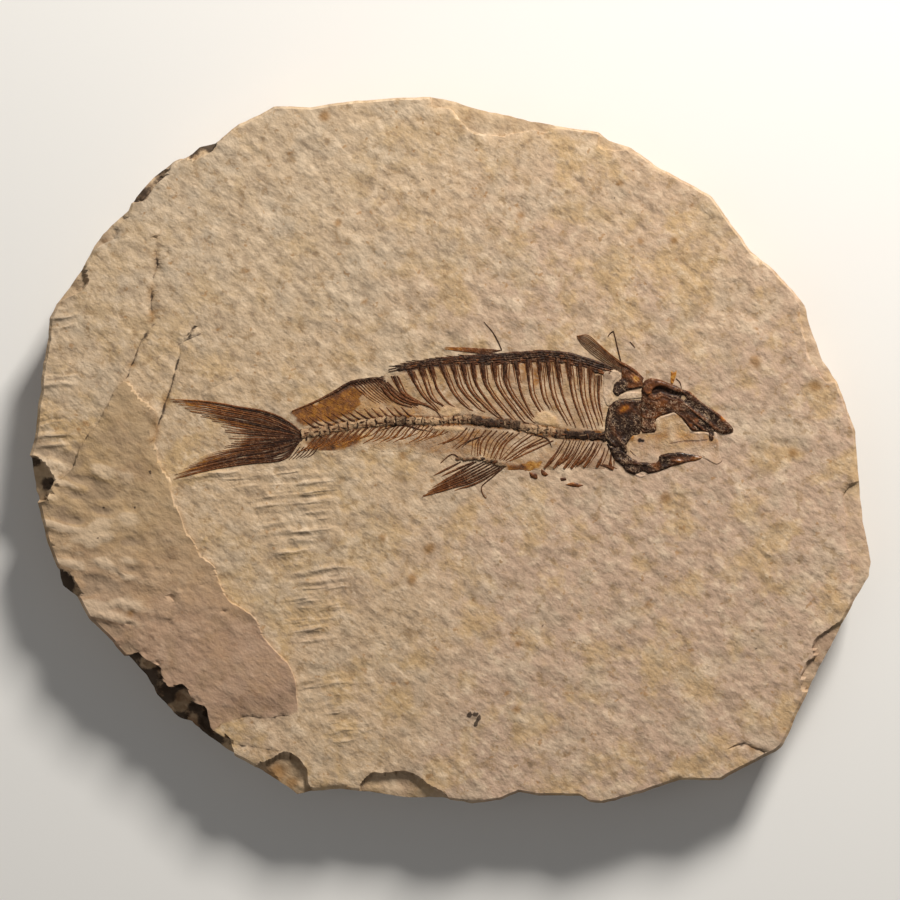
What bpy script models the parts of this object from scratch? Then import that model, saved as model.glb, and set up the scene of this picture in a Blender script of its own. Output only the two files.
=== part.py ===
"""A fossil fish on a slab of split limestone.

The slab lies on its back with the fish facing up. The file works in metres with +Z up, and the
origin is on the underside, below the middle of the slab. Places on the bedding plane are given
in millimetres from that middle, with +X to the fish's snout and +Y to its belly.
"""

import bpy
import bmesh
from mathutils import Vector, noise

MM = 0.001

# Stone
BED_HEIGHT = 12.0        # from the underside to the bed that the fish lies on
UPPER_BED = 0.8          # thickness of the sheet of stone left standing over the tail
SEAT_HEIGHT = 0.0        # the underside, which the slab rests on
CUTTER_TOP = 18.0        # every cutter ends above all the stone
SINK = 0.35              # how far a raised form goes into the stone that it grows from

# Bones
BONE_GAP = 0.3           # clear space between a bone and the bed
BONE_BASE = BED_HEIGHT + BONE_GAP
BASE_STEP = 0.013        # difference in height between the undersides of fused blanks
BONE_CREST = 0.55        # height of a rib's crest over its underside
PLATE_HEIGHT = 0.4       # thickness of the head's flat bones

RIB_COUNT = 20
SCUTE_COUNT = 22
VERTEBRA_COUNT = 38

# The slab's knapped edge seen from above, clockwise from the left
SLAB_EDGE = (
    (-80.2, 14.2), (-78.8, 21.8), (-78.5, 25.7), (-76.6, 29.4), (-75.1, 31.2), (-71.7, 36.1),
    (-69.7, 40.0), (-67.9, 42.5), (-63.0, 47.0), (-61.6, 49.8), (-58.1, 53.7), (-54.0, 56.6),
    (-51.5, 57.6), (-49.1, 59.5), (-45.4, 60.5), (-41.3, 64.0), (-37.5, 65.6), (-34.4, 67.4),
    (-27.2, 67.2), (-20.4, 68.3), (-9.8, 69.1), (-3.9, 69.3), (0.4, 68.5), (5.6, 66.8),
    (11.3, 65.6), (16.2, 64.4), (21.1, 63.6), (29.3, 62.3), (31.1, 60.7), (35.2, 59.5),
    (41.0, 55.4), (49.4, 50.9), (51.2, 49.8), (55.1, 44.3), (59.2, 38.8), (63.5, 35.3),
    (66.1, 32.5), (69.6, 28.4), (70.4, 24.7), (73.1, 17.5), (75.7, 13.6), (77.2, 9.9),
    (79.4, 3.6), (80.0, -4.0), (80.9, -13.8), (82.1, -19.1), (82.5, -22.0), (82.1, -24.8),
    (80.0, -28.3), (77.8, -32.2), (74.5, -39.0), (72.3, -42.9), (68.4, -51.0), (65.3, -57.8),
    (63.9, -59.0), (59.0, -61.5), (53.0, -64.7), (45.1, -64.7), (38.3, -67.0), (30.1, -69.3),
    (27.4, -69.0), (25.6, -67.8), (17.6, -67.8), (13.5, -67.0), (9.7, -68.6), (4.5, -69.3),
    (-1.6, -68.2), (-8.4, -68.2), (-14.7, -67.2), (-21.5, -66.4), (-27.6, -67.0), (-30.0, -67.6),
    (-33.3, -65.2), (-37.8, -62.3), (-43.2, -59.4), (-48.7, -55.7), (-50.9, -53.5),
    (-53.2, -52.9), (-57.7, -48.4), (-59.7, -44.7), (-62.8, -41.4), (-66.3, -37.3),
    (-70.6, -33.2), (-72.8, -29.1), (-76.1, -26.7), (-76.9, -23.0), (-78.8, -18.3),
    (-80.2, -12.6), (-81.6, -7.4), (-82.2, -3.6), (-82.5, -1.1), (-81.4, 2.4), (-80.8, 8.5),
    (-80.2, 11.6),
)

# Turns round the rim: height, how far it lies inside the edge, and how much that varies
RIM_TURNS = (
    (SEAT_HEIGHT, 3.2, 1.2),
    (1.5, 1.7, 1.0),
    (4.1, 1.3, 0.9),
    (4.5, 0.8, 0.6),
    (7.9, 0.5, 0.5),
    (8.3, 0.0, 0.0),
    (10.9, 0.0, 0.0),
    (11.9, 0.35, 0.2),
    (BED_HEIGHT + UPPER_BED, 1.0, 0.4),
)

# Where the upper sheet of stone ends, from the left rim over the tail to the bottom rim
UPPER_BED_EDGE = (
    (-86.0, -4.0), (-80.6, -8.3), (-79.0, -9.3), (-77.1, -6.4), (-74.0, -3.6), (-72.2, 0.7),
    (-69.5, 4.4), (-67.1, 8.1), (-65.5, 11.6), (-63.8, 13.4), (-62.0, 12.2), (-60.5, 9.9),
    (-59.1, 9.1), (-56.9, 7.1), (-57.3, 5.0), (-58.1, 1.6), (-56.5, -3.6), (-55.0, -5.6),
    (-53.8, -10.3), (-51.9, -15.4), (-48.9, -20.5), (-46.0, -22.8), (-44.8, -27.1),
    (-43.2, -29.6), (-38.6, -32.2), (-37.2, -34.5), (-36.0, -37.3), (-31.7, -41.6),
    (-30.1, -45.5), (-29.8, -50.8), (-32.1, -51.9), (-35.0, -52.5), (-40.3, -52.3),
    (-44.6, -53.3), (-52.0, -60.0), (-52.0, -80.0),
)
FAR_CORNERS = ((95.0, -80.0), (95.0, 80.0), (-95.0, 80.0), (-95.0, -4.0))

# Flakes knocked off the rim: height of the floor that each one leaves, and its outline
RIM_FLAKES = (
    (11.2, ((-4.3, 70.7), (-3.5, 67.5), (0.4, 66.8), (1.9, 64.4), (3.9, 62.9), (6.8, 61.9),
            (9.7, 61.5), (13.7, 61.9), (16.6, 62.5), (19.1, 62.3), (20.7, 65.4))),
    (11.4, ((28.9, 63.4), (29.3, 59.3), (31.7, 58.6), (34.4, 58.9), (37.1, 59.7), (35.2, 62.5))),
    (10.4, ((-47.9, 62.5), (-45.6, 59.9), (-46.4, 58.0), (-48.9, 57.0), (-51.9, 57.0),
            (-54.8, 58.6))),
    (10.6, ((-53.8, 58.6), (-54.4, 55.4), (-57.1, 52.3), (-59.7, 49.0), (-61.8, 48.2),
            (-64.2, 49.8))),
    (10.9, ((-64.6, 48.8), (-63.4, 45.6), (-66.1, 41.3), (-68.7, 39.4), (-71.6, 41.0))),
    (11.0, ((-72.4, 36.6), (-70.4, 33.1), (-72.0, 31.0), (-75.1, 29.6), (-76.9, 28.8),
            (-78.6, 31.2))),
    (10.7, ((77.4, 4.2), (78.8, -2.1), (77.8, -7.9), (77.2, -11.9), (77.8, -17.7), (78.2, -21.6),
            (79.2, -25.5), (78.2, -30.2), (84.1, -30.2), (86.0, -13.8), (82.1, 4.2))),
    (11.1, ((66.1, 33.9), (68.2, 29.6), (68.4, 25.3), (69.4, 20.4), (71.4, 16.5), (73.7, 13.2),
            (78.2, 15.5), (72.3, 31.2))),
    (11.0, ((76.6, -33.8), (73.9, -35.3), (71.4, -37.1), (71.0, -38.4), (71.4, -40.4),
            (69.8, -41.6), (68.6, -45.1), (69.0, -47.4), (74.3, -47.1), (80.2, -37.3))),
    (10.9, ((-18.4, -68.6), (-17.4, -65.2), (-15.5, -63.1), (-12.9, -62.7), (-9.0, -62.5),
            (-6.1, -63.7), (-3.5, -65.4), (0.0, -67.8), (-0.4, -70.9), (-15.7, -70.9))),
    (10.6, ((-38.4, -64.7), (-38.0, -61.7), (-35.6, -60.2), (-32.3, -59.2), (-29.4, -60.2),
            (-27.8, -62.3), (-27.6, -65.0), (-26.2, -67.6), (-29.4, -70.1))),
    (8.9, ((-84.5, -0.5), (-81.0, -1.1), (-78.6, -3.1), (-77.1, -5.6), (-78.8, -9.9),
           (-81.4, -10.7), (-84.1, -7.9))),
    (10.2, ((-79.4, -22.8), (-76.3, -23.0), (-74.0, -24.2), (-72.2, -27.5), (-73.2, -29.5),
            (-76.7, -29.5))),
    (7.9, ((-65.0, -41.2), (-61.2, -39.6), (-58.7, -41.2), (-56.7, -42.4), (-56.2, -45.1),
           (-54.4, -46.7), (-52.8, -45.7), (-51.3, -47.1), (-49.9, -49.0), (-47.9, -50.0),
           (-47.4, -51.4), (-46.6, -54.5), (-45.2, -55.9), (-43.1, -56.8), (-41.9, -61.5),
           (-50.9, -62.7), (-64.6, -49.0))),
)

# Hairline cracks: width at the bed, depth, and the line that each one takes
CRACKS = (
    (0.45, 0.7, ((-57.3, 41.7), (-57.1, 39.0), (-57.9, 32.2), (-58.5, 28.6), (-58.3, 25.3),
                 (-59.5, 23.4), (-62.0, 18.1), (-63.0, 14.7))),
    (0.45, 0.7, ((-49.7, 23.9), (-51.7, 22.0), (-52.8, 19.8), (-54.4, 13.4), (-55.4, 10.1),
                 (-56.2, 7.9))),
    (0.40, 0.5, ((54.3, -58.2), (57.9, -57.2), (61.4, -59.2), (62.2, -60.2))),
)

# Folds pressed into the bed below the tail: left end, middle and right end of each ridge
FOLDS = (
    ((-52.4, -5.6), (-34.3, -5.4), (-22.0, -5.4)),
    ((-37.6, -10.0), (-29.8, -9.3), (-22.0, -7.6)),
    ((-38.7, -12.2), (-31.0, -11.9), (-23.1, -11.1)),
    ((-37.0, -14.6), (-30.0, -14.2), (-22.9, -13.6)),
    ((-37.0, -17.0), (-30.0, -16.2), (-26.3, -16.3)),
    ((-34.5, -21.6), (-30.0, -21.2), (-26.0, -20.5)),
    ((-31.9, -25.4), (-25.7, -24.2), (-20.6, -23.2)),
    ((-32.0, -27.8), (-25.7, -26.4), (-20.6, -25.8)),
    ((-32.5, -30.2), (-27.4, -29.3), (-20.6, -28.2)),
    ((-32.0, -32.2), (-26.5, -31.6), (-21.0, -31.0)),
    ((-31.8, -35.0), (-27.0, -35.4), (-22.2, -35.8)),
    ((-29.0, -45.4), (-23.0, -46.0), (-17.4, -46.5)),
    ((-25.3, -51.0), (-20.5, -51.2), (-15.4, -53.5)),
    ((-23.6, -54.4), (-20.5, -55.4), (-18.0, -56.8)),
)
FOLD_WIDTH = 1.5
FOLD_HEIGHT = 0.22

# Lumps on the upper sheet: middle, length, width and rise
LUMPS = (
    ((-75.0, -13.5), 5.2, 2.4, 0.40), ((-70.5, -18.0), 6.4, 2.2, 0.35),
    ((-74.0, -19.5), 4.4, 2.2, 0.35), ((-66.5, -23.0), 6.0, 2.6, 0.40),
    ((-70.0, -27.0), 4.8, 2.4, 0.35), ((-62.0, -28.5), 5.6, 2.6, 0.35),
    ((-65.0, -33.0), 5.0, 2.4, 0.40), ((-58.5, -34.5), 4.6, 2.2, 0.30),
    ((-74.5, -8.8), 4.0, 2.0, 0.30),
)

# Middle lines of the backbone and of the row of belly scutes, tail to head
COLUMN_LINE = (
    (-28.2, 3.2), (-24.7, 3.8), (-20.8, 4.6), (-16.8, 5.2), (-12.7, 5.6), (-8.4, 5.7),
    (-2.6, 5.6), (0.0, 5.9), (4.3, 5.9), (7.0, 5.4), (12.3, 5.0), (15.2, 4.2), (19.1, 3.6),
    (22.9, 3.0), (28.1, 2.8), (29.5, 2.6),
)
COLUMN_WIDTH = 1.75
SCUTE_LINE = (
    (-12.0, 15.7), (-7.7, 16.9), (-3.9, 17.5), (-0.6, 17.9), (3.1, 18.1), (7.2, 18.1),
    (10.1, 18.3), (14.1, 18.7), (18.4, 19.0), (22.3, 18.7), (25.2, 17.9), (28.1, 16.9),
    (29.8, 16.2),
)
SCUTE_WIDTH = 1.6

RIB_FIRST_X = -11.0
RIB_LAST_X = 29.1
RIB_HEAD_DROP = 1.25     # from the scutes' middle line to the head of a rib
RIB_LEAN = 6.2           # how far the foot of a rear rib lies nearer to the skull than its head
RIB_LEAN_END = 0.8
RIB_CURVE = 1.8
RIB_HEAD_WIDTH = 1.3
RIB_FOOT_WIDTH = 0.6
LAST_RIB = ((-12.3, 12.6), (-10.4, 10.8), (-7.9, 9.5), (-5.1, 8.9), (-2.8, 7.7), (-1.6, 6.0))

# Spines on the back: first and last start on the backbone, count, reach towards the tail, drop
BACK_SPINES = (
    (-23.6, 9.6, 13, 4.2, 3.6),
    (12.2, 20.4, 5, 5.8, 3.9),
    (22.6, 29.0, 6, 3.8, 5.6),
)
TAIL_SPINES = (-25.0, -9.0, 8, 2.6, -2.6)
SPINE_WIDTH = 0.62

# Fin rays, each from its base to its tip
TAIL_RAYS = (
    ((-29.0, 3.4), (-34.3, 6.7), (-40.1, 8.1), (-47.9, 9.3), (-55.0, 9.7)),
    ((-29.0, 3.0), (-35.2, 5.9), (-41.1, 7.3), (-47.9, 8.5), (-53.2, 8.9)),
    ((-29.0, 2.8), (-35.6, 5.2), (-41.1, 6.3), (-47.4, 7.5), (-51.7, 7.9)),
    ((-29.0, 2.6), (-35.6, 4.4), (-41.1, 5.6), (-46.0, 6.3), (-49.3, 6.9)),
    ((-29.0, 2.6), (-35.6, 3.6), (-40.7, 4.4), (-44.6, 5.0)),
    ((-29.0, 2.4), (-35.6, 2.8), (-40.1, 3.0)),
    ((-29.0, 2.2), (-35.6, 2.0), (-41.1, 1.6)),
    ((-29.0, 2.2), (-35.2, 1.4), (-40.1, 0.9), (-44.0, 0.5)),
    ((-29.0, 2.0), (-34.8, 0.7), (-40.1, 0.1), (-46.0, -1.1), (-49.3, -2.1)),
    ((-29.0, 1.8), (-34.3, -0.1), (-40.1, -0.9), (-46.6, -2.3), (-51.5, -3.6)),
    ((-29.0, 1.8), (-33.3, -0.9), (-40.1, -1.7), (-47.0, -3.1), (-52.8, -4.6)),
    ((-29.0, 1.6), (-32.5, -1.7), (-39.1, -2.5), (-46.6, -3.6), (-53.6, -5.4)),
)
DORSAL_BASE = ((1.5, -1.9), (4.9, -1.9), (7.8, -2.1), (10.7, -3.1))
DORSAL_RAYS = (
    ((2.1, -2.3), (-0.4, -3.6), (-3.2, -5.0)),
    ((5.1, -2.3), (1.3, -4.6), (-2.6, -6.8)),
    ((7.2, -2.5), (2.9, -4.8), (-4.3, -8.1)),
    ((9.2, -2.7), (4.3, -5.2), (-4.7, -8.7)),
    ((10.3, -3.1), (4.9, -6.0), (0.0, -7.5), (-5.1, -8.9)),
    ((2.1, -1.9), (0.8, -0.9), (-0.2, -1.1), (-1.8, -2.5)),
    ((10.7, -3.2), (8.4, -5.2), (6.2, -7.2), (6.6, -9.3)),
)
PECTORAL_RAYS = (
    ((33.0, 17.3), (29.3, 19.8), (25.0, 22.6)),
    ((32.8, 16.9), (28.9, 19.3), (24.8, 22.0)),
    ((32.4, 16.9), (28.7, 18.9), (25.8, 20.9)),
    ((33.2, 17.2), (32.9, 19.8), (32.2, 23.0), (30.9, 22.0)),
)
PELVIC_RAYS = (
    ((7.6, 19.8), (3.9, 20.1), (-1.2, 20.3)),
    ((7.6, 19.7), (4.9, 19.7), (0.4, 19.6)),
)
ANAL_EDGE = (
    (-30.9, 7.5), (-26.4, 9.3), (-22.3, 11.4), (-19.6, 13.0), (-16.8, 13.6), (-14.1, 13.8),
)
ANAL_RAY_COUNT = 5
ANAL_RAY_FIRST = (-20.0, 12.8)
ANAL_RAY_STEP = (1.3, 0.18)
ANAL_RAY_RUN = (3.0, -3.5)
LOOSE_SPINE = ((6.6, 25.1), (8.4, 22.6), (9.9, 20.0))

# Flat bones of the head, and the ridges that stand on them
SKULL = (
    (38.1, 13.6), (39.5, 14.0), (41.2, 13.8), (43.4, 12.8), (45.5, 11.6), (46.9, 11.4),
    (48.9, 9.7), (51.6, 7.5), (53.9, 6.1), (55.5, 4.4), (55.3, 3.6), (53.6, 3.2), (51.6, 3.6),
    (51.4, 1.8), (50.6, 2.0), (50.4, 3.6), (48.5, 3.6), (47.1, 3.8), (45.7, 5.7), (45.0, 6.7),
    (43.8, 7.3), (42.4, 6.9), (40.6, 6.3), (40.1, 5.4), (40.5, 3.4), (38.1, 3.6), (37.7, 6.7),
    (37.9, 10.1),
)
SKULL_RIDGES = (
    ((38.5, 13.0), (41.4, 12.8), (45.5, 10.6), (49.8, 7.5), (54.7, 4.4)),
    ((39.1, 11.0), (41.4, 11.6), (44.2, 10.4), (47.3, 8.3), (50.4, 5.5)),
    ((39.5, 7.7), (41.8, 8.9), (44.6, 8.7), (46.5, 7.1), (48.1, 4.6)),
    ((38.7, 11.6), (38.9, 7.7), (39.1, 4.4)),
)
GILL_COVER = (
    (37.1, 9.5), (37.1, 3.6), (35.6, 2.8), (34.6, 1.3), (32.8, 0.7), (31.1, 1.3), (30.1, 2.6),
    (30.5, 5.9), (31.1, 8.5), (32.4, 9.7), (34.8, 9.9),
)
GILL_RIDGES = (
    ((36.7, 9.2), (36.5, 6.1), (35.6, 3.6), (34.0, 1.7)),
    ((36.3, 8.7), (33.6, 9.1), (31.6, 7.3)),
    ((36.0, 5.4), (33.2, 5.9), (31.0, 5.4)),
    ((35.2, 3.4), (32.8, 3.8), (30.9, 3.4)),
)
LOWER_JAW = (
    (30.5, 0.7), (32.0, -0.1), (33.6, -0.1), (35.2, -1.5), (37.1, -2.3), (39.1, -2.7),
    (40.8, -2.3), (41.0, -1.1), (42.6, -0.7), (45.5, -0.5), (47.9, -0.9), (49.4, -1.3),
    (49.4, -1.7), (47.9, -2.3), (45.7, -2.7), (43.4, -3.2), (41.2, -4.2), (38.5, -4.6),
    (37.9, -4.0), (36.3, -4.8), (34.8, -4.4), (33.4, -2.7), (31.7, -1.3),
)
JAW_RIDGES = (((31.6, -0.2), (34.2, -1.9), (38.1, -3.4), (41.6, -2.5), (45.0, -1.7), (48.5, -1.5)),)
SHOULDER = (
    (34.4, 16.3), (35.8, 15.3), (37.1, 14.2), (37.2, 12.0), (34.6, 11.8), (33.0, 10.4),
    (31.9, 11.4), (32.4, 13.2), (34.0, 14.0), (33.5, 15.4),
)
SHOULDER_RIDGES = (((34.3, 15.8), (35.4, 14.2), (36.6, 12.6)), ((36.4, 12.4), (34.2, 12.4), (32.6, 11.2)))

# Chips of scale and bone that lie loose below the backbone
LOOSE_CHIPS = (
    ((15.6, -4.2), (17.2, -4.6), (17.2, -5.8), (15.6, -5.2)),
    ((18.0, -3.6), (19.3, -4.9), (18.5, -5.4), (17.7, -4.5)),
    ((21.5, -5.6), (22.9, -5.4), (22.9, -6.0), (21.7, -6.0)),
    ((22.5, -6.8), (23.4, -6.3), (24.6, -6.3), (26.2, -6.9), (25.0, -7.4), (24.0, -7.1)),
)

# Colour, roughness
STONE = ((0.56, 0.42, 0.27), 0.85)
DARK_BONE = ((0.075, 0.036, 0.018), 0.5)
RED_BONE = ((0.16, 0.055, 0.020), 0.45)
PALE_BONE = ((0.22, 0.12, 0.055), 0.6)


def clear_scene():
    """Take away what a new file opens with."""
    for item in list(bpy.data.objects):
        bpy.data.objects.remove(item, do_unlink=True)


def make_material(name, look):
    """Principled material from a colour and a roughness."""
    colour, roughness = look
    material = bpy.data.materials.new(name)
    material.use_nodes = True
    shader = material.node_tree.nodes["Principled BSDF"]
    shader.inputs["Base Color"].default_value = (*colour, 1.0)
    shader.inputs["Roughness"].default_value = roughness
    shader.inputs["Metallic"].default_value = 0.0
    return material


def place_mesh(name, mesh_maker, collection):
    """Object from a filled bmesh, closed and facing out."""
    bmesh.ops.recalc_face_normals(mesh_maker, faces=mesh_maker.faces)
    mesh = bpy.data.meshes.new(name)
    mesh_maker.to_mesh(mesh)
    mesh_maker.free()
    item = bpy.data.objects.new(name, mesh)
    collection.objects.link(item)
    return item


def make_guides(name, mesh_makers):
    """Hidden collection of shapes that a Boolean modifier reads."""
    collection = bpy.data.collections.new(name)
    bpy.context.scene.collection.children.link(collection)
    for number, mesh_maker in enumerate(mesh_makers):
        guide = place_mesh(f"{name}_{number}", mesh_maker, collection)
        guide.hide_render = True
        guide.display_type = "WIRE"
    return collection


def combine(item, operation, collection):
    """Boolean of an object with every guide in a collection."""
    modifier = item.modifiers.new(collection.name, "BOOLEAN")
    modifier.operation = operation
    modifier.operand_type = "COLLECTION"
    modifier.collection = collection
    modifier.solver = "EXACT"


def prism(outline, low, high):
    """Straight-sided solid over an outline."""
    made = bmesh.new()
    turns = []
    for height in (low, high):
        turns.append([made.verts.new((x * MM, y * MM, height * MM)) for x, y in outline])
    made.faces.new(turns[0])
    made.faces.new(turns[1])
    for i in range(len(outline)):
        j = (i + 1) % len(outline)
        made.faces.new((turns[0][i], turns[0][j], turns[1][j], turns[1][i]))
    return made


def ridge(line, widths, base, crest):
    """Three-sided bar along a line, with its flat side at base and its edge at crest."""
    points = [Vector(place) for place in line]
    made = bmesh.new()
    sections = []
    for i, point in enumerate(points):
        along = (points[min(i + 1, len(points) - 1)] - points[max(i - 1, 0)]).normalized()
        side = Vector((-along.y, along.x))
        part = i / (len(points) - 1)
        half = 0.5 * (widths[0] + (widths[1] - widths[0]) * part)
        left = point + side * half
        right = point - side * half
        sections.append([
            made.verts.new((left.x * MM, left.y * MM, base * MM)),
            made.verts.new((point.x * MM, point.y * MM, crest * MM)),
            made.verts.new((right.x * MM, right.y * MM, base * MM)),
        ])
    made.faces.new(sections[0])
    made.faces.new(sections[-1])
    for near, far in zip(sections, sections[1:]):
        for k in range(3):
            made.faces.new((near[k], near[(k + 1) % 3], far[(k + 1) % 3], far[k]))
    return made


def beaded_bar(line, count, width, waist, base, crest, dip):
    """Bar that swells and narrows once for each of its beads, such as vertebrae."""
    made = bmesh.new()
    sections = []
    for i in range(2 * count + 1):
        place = point_on(line, i / (2 * count))
        ahead = point_on(line, min(i / (2 * count) + 0.01, 1.0))
        behind = point_on(line, max(i / (2 * count) - 0.01, 0.0))
        along = (ahead - behind).normalized()
        side = Vector((-along.y, along.x))
        swollen = i % 2 == 1
        half = 0.5 * (width if swollen else waist)
        top = crest if swollen else crest - dip
        ring = []
        for offset, height in ((half, base), (half * 0.55, top), (-half * 0.55, top), (-half, base)):
            corner = place + side * offset
            ring.append(made.verts.new((corner.x * MM, corner.y * MM, height * MM)))
        sections.append(ring)
    made.faces.new(sections[0])
    made.faces.new(sections[-1])
    for near, far in zip(sections, sections[1:]):
        for k in range(4):
            made.faces.new((near[k], near[(k + 1) % 4], far[(k + 1) % 4], far[k]))
    return made


def mound(middle, length, width, low, high):
    """Low lump, broad at its foot and flattened on top, leaning along the stone's grain."""
    made = bmesh.new()
    bmesh.ops.create_cone(
        made, cap_ends=True, segments=10, radius1=1.0, radius2=0.45, depth=1.0)
    grain = Vector((0.94, -0.34))
    for vertex in made.verts:
        along = vertex.co.x * length / 2
        across = vertex.co.y * width / 2
        x = middle[0] + grain.x * along - grain.y * across
        y = middle[1] + grain.y * along + grain.x * across
        z = low + (vertex.co.z + 0.5) * (high - low)
        vertex.co = Vector((x, y, z)) * MM
    return made


def point_on(line, part):
    """Place on a line, with part running evenly from 0 to 1 along its X."""
    x = line[0][0] + (line[-1][0] - line[0][0]) * part
    return Vector((x, height_at(line, x)))


def height_at(line, x):
    """Y of a line where it passes X."""
    for (x0, y0), (x1, y1) in zip(line, line[1:]):
        if x <= x1:
            return y0 + (y1 - y0) * (x - x0) / (x1 - x0)
    return line[-1][1]


def fuse(name, blanks, material):
    """One bone from overlapping blanks."""
    bone = place_mesh(name, blanks[0], bpy.context.scene.collection)
    bone.data.materials.append(material)
    if len(blanks) > 1:
        combine(bone, "UNION", make_guides(f"{name}_blanks", blanks[1:]))
    return bone


def blank_base(number):
    """Height of a blank's underside; neighbours differ a little, so their faces never coincide."""
    return BONE_BASE + BASE_STEP * (1 + number % 7)


def bars(lines, widths, crest):
    """Blanks for a set of rays or ridges."""
    made = []
    for number, line in enumerate(lines):
        made.append(ridge(line, widths, blank_base(number), crest + 0.006 * (number % 7)))
    return made


def build_slab(material):
    """The stone: knapped rim, sheet left over the tail, flaked edge, cracks, folds and lumps."""
    made = bmesh.new()
    turns = []
    for level, (height, inset, variation) in enumerate(RIM_TURNS):
        turn = []
        for x, y in SLAB_EDGE:
            wander = noise.noise(Vector((x * 0.11, y * 0.11, level * 7.3)))
            reach = Vector((x, y)).length
            scale = 1.0 - (inset + variation * wander) / reach
            turn.append(made.verts.new((x * scale * MM, y * scale * MM, height * MM)))
        turns.append(turn)
    made.faces.new(turns[0])
    made.faces.new(turns[-1])
    for near, far in zip(turns, turns[1:]):
        for i in range(len(SLAB_EDGE)):
            j = (i + 1) % len(SLAB_EDGE)
            made.faces.new((near[i], near[j], far[j], far[i]))
    slab = place_mesh("slab", made, bpy.context.scene.collection)
    slab.data.materials.append(material)

    cleared = [prism(UPPER_BED_EDGE + FAR_CORNERS, BED_HEIGHT, CUTTER_TOP)]
    for number, (floor, outline) in enumerate(RIM_FLAKES):
        cleared.append(prism(outline, floor, CUTTER_TOP + 0.1 * (number + 1)))
    combine(slab, "DIFFERENCE", make_guides("cleared_stone", cleared))

    raised = []
    for line in FOLDS:
        raised.append(ridge(line, (FOLD_WIDTH, FOLD_WIDTH), BED_HEIGHT - SINK,
                            BED_HEIGHT + FOLD_HEIGHT))
    upper = BED_HEIGHT + UPPER_BED
    for middle, length, width, rise in LUMPS:
        raised.append(mound(middle, length, width, upper - SINK, upper + rise))
    combine(slab, "UNION", make_guides("raised_stone", raised))

    opened = []
    for width, depth, line in CRACKS:
        top = CUTTER_TOP
        full = width * (top - BED_HEIGHT + depth) / depth
        opened.append(ridge(line, (full, full), top, BED_HEIGHT - depth))
    combine(slab, "DIFFERENCE", make_guides("cracks", opened))
    return slab


def build_backbone(material):
    """Vertebrae with the ribs and spines that grow from them, as one body."""
    crest = BONE_BASE + BONE_CREST
    blanks = [beaded_bar(COLUMN_LINE, VERTEBRA_COUNT, COLUMN_WIDTH, COLUMN_WIDTH * 0.8,
                         BONE_BASE, crest + 0.12, 0.14)]
    lines = []
    for k in range(RIB_COUNT):
        part = k / (RIB_COUNT - 1)
        head_x = RIB_FIRST_X + (RIB_LAST_X - RIB_FIRST_X) * part
        head_y = height_at(SCUTE_LINE, head_x) - RIB_HEAD_DROP
        lean = RIB_LEAN_END + RIB_LEAN * (1.0 - part ** 3)
        foot_x = min(head_x + lean, COLUMN_LINE[-1][0] - 0.4)
        foot_y = height_at(COLUMN_LINE, foot_x)
        line = []
        for step in (0.0, 0.3, 0.6, 0.85, 1.0):
            line.append((head_x + (foot_x - head_x) * step ** RIB_CURVE,
                         head_y + (foot_y - head_y) * step))
        lines.append(line)
    blanks += bars(lines, (RIB_HEAD_WIDTH, RIB_FOOT_WIDTH), crest)
    blanks += bars([LAST_RIB], (1.0, 0.9), crest - 0.05)

    spines = []
    for first, last, count, reach, drop in (*BACK_SPINES, TAIL_SPINES):
        for k in range(count):
            x = first + (last - first) * k / (count - 1)
            y = height_at(COLUMN_LINE, x)
            spines.append(((x, y), (x - reach * 0.45, y - drop * 0.6), (x - reach, y - drop)))
    blanks += bars(spines, (SPINE_WIDTH, SPINE_WIDTH * 0.7), crest - 0.12)
    return fuse("backbone", blanks, material)


def build_scutes(material):
    """Row of overlapping belly scutes, one bead for each."""
    blank = beaded_bar(SCUTE_LINE, SCUTE_COUNT, SCUTE_WIDTH, SCUTE_WIDTH * 0.7,
                       BONE_BASE, BONE_BASE + 0.6, 0.15)
    return fuse("belly_scutes", [blank], material)


def build_fins(material):
    """Tail, dorsal, pectoral, pelvic and anal fins, each a fan of rays fused at its base."""
    crest = BONE_BASE + 0.5
    fuse("tail_fin", bars(TAIL_RAYS, (0.9, 0.75), crest), material)
    fuse("dorsal_fin", bars((DORSAL_BASE,), (1.0, 1.0), crest + 0.05)
         + bars(DORSAL_RAYS, (0.8, 0.5), crest), material)
    fuse("pectoral_fin", bars(PECTORAL_RAYS, (0.7, 0.6), crest), material)
    fuse("pelvic_fin", bars(PELVIC_RAYS, (0.6, 0.4), crest - 0.1), material)
    rays = []
    for k in range(ANAL_RAY_COUNT):
        x = ANAL_RAY_FIRST[0] + ANAL_RAY_STEP[0] * k
        y = height_at(ANAL_EDGE, x)
        rays.append(((x, y), (x + ANAL_RAY_RUN[0], y + ANAL_RAY_RUN[1])))
    fuse("anal_fin", bars((ANAL_EDGE,), (0.9, 1.1), crest) + bars(rays, (0.6, 0.4), crest - 0.1),
         material)
    fuse("loose_spine", bars((LOOSE_SPINE,), (0.35, 0.45), crest - 0.1), material)


def build_head(material):
    """Skull, gill cover, lower jaw and shoulder: flat bones with ridges standing on them."""
    ridge_top = BONE_BASE + PLATE_HEIGHT + 0.35
    plates = (
        ("skull", SKULL, SKULL_RIDGES, 1.1),
        ("gill_cover", GILL_COVER, GILL_RIDGES, 0.8),
        ("lower_jaw", LOWER_JAW, JAW_RIDGES, 1.0),
        ("shoulder", SHOULDER, SHOULDER_RIDGES, 0.8),
    )
    for name, outline, ridges, width in plates:
        plate = prism(outline, BONE_BASE, BONE_BASE + PLATE_HEIGHT)
        fuse(name, [plate] + bars(ridges, (width, width * 0.6), ridge_top), material)


def build_chips(material):
    """Loose chips below the backbone."""
    for number, outline in enumerate(LOOSE_CHIPS, start=1):
        blank = prism(outline, BONE_BASE, BONE_BASE + 0.35)
        fuse(f"loose_chip_{number}", [blank], material)


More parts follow.
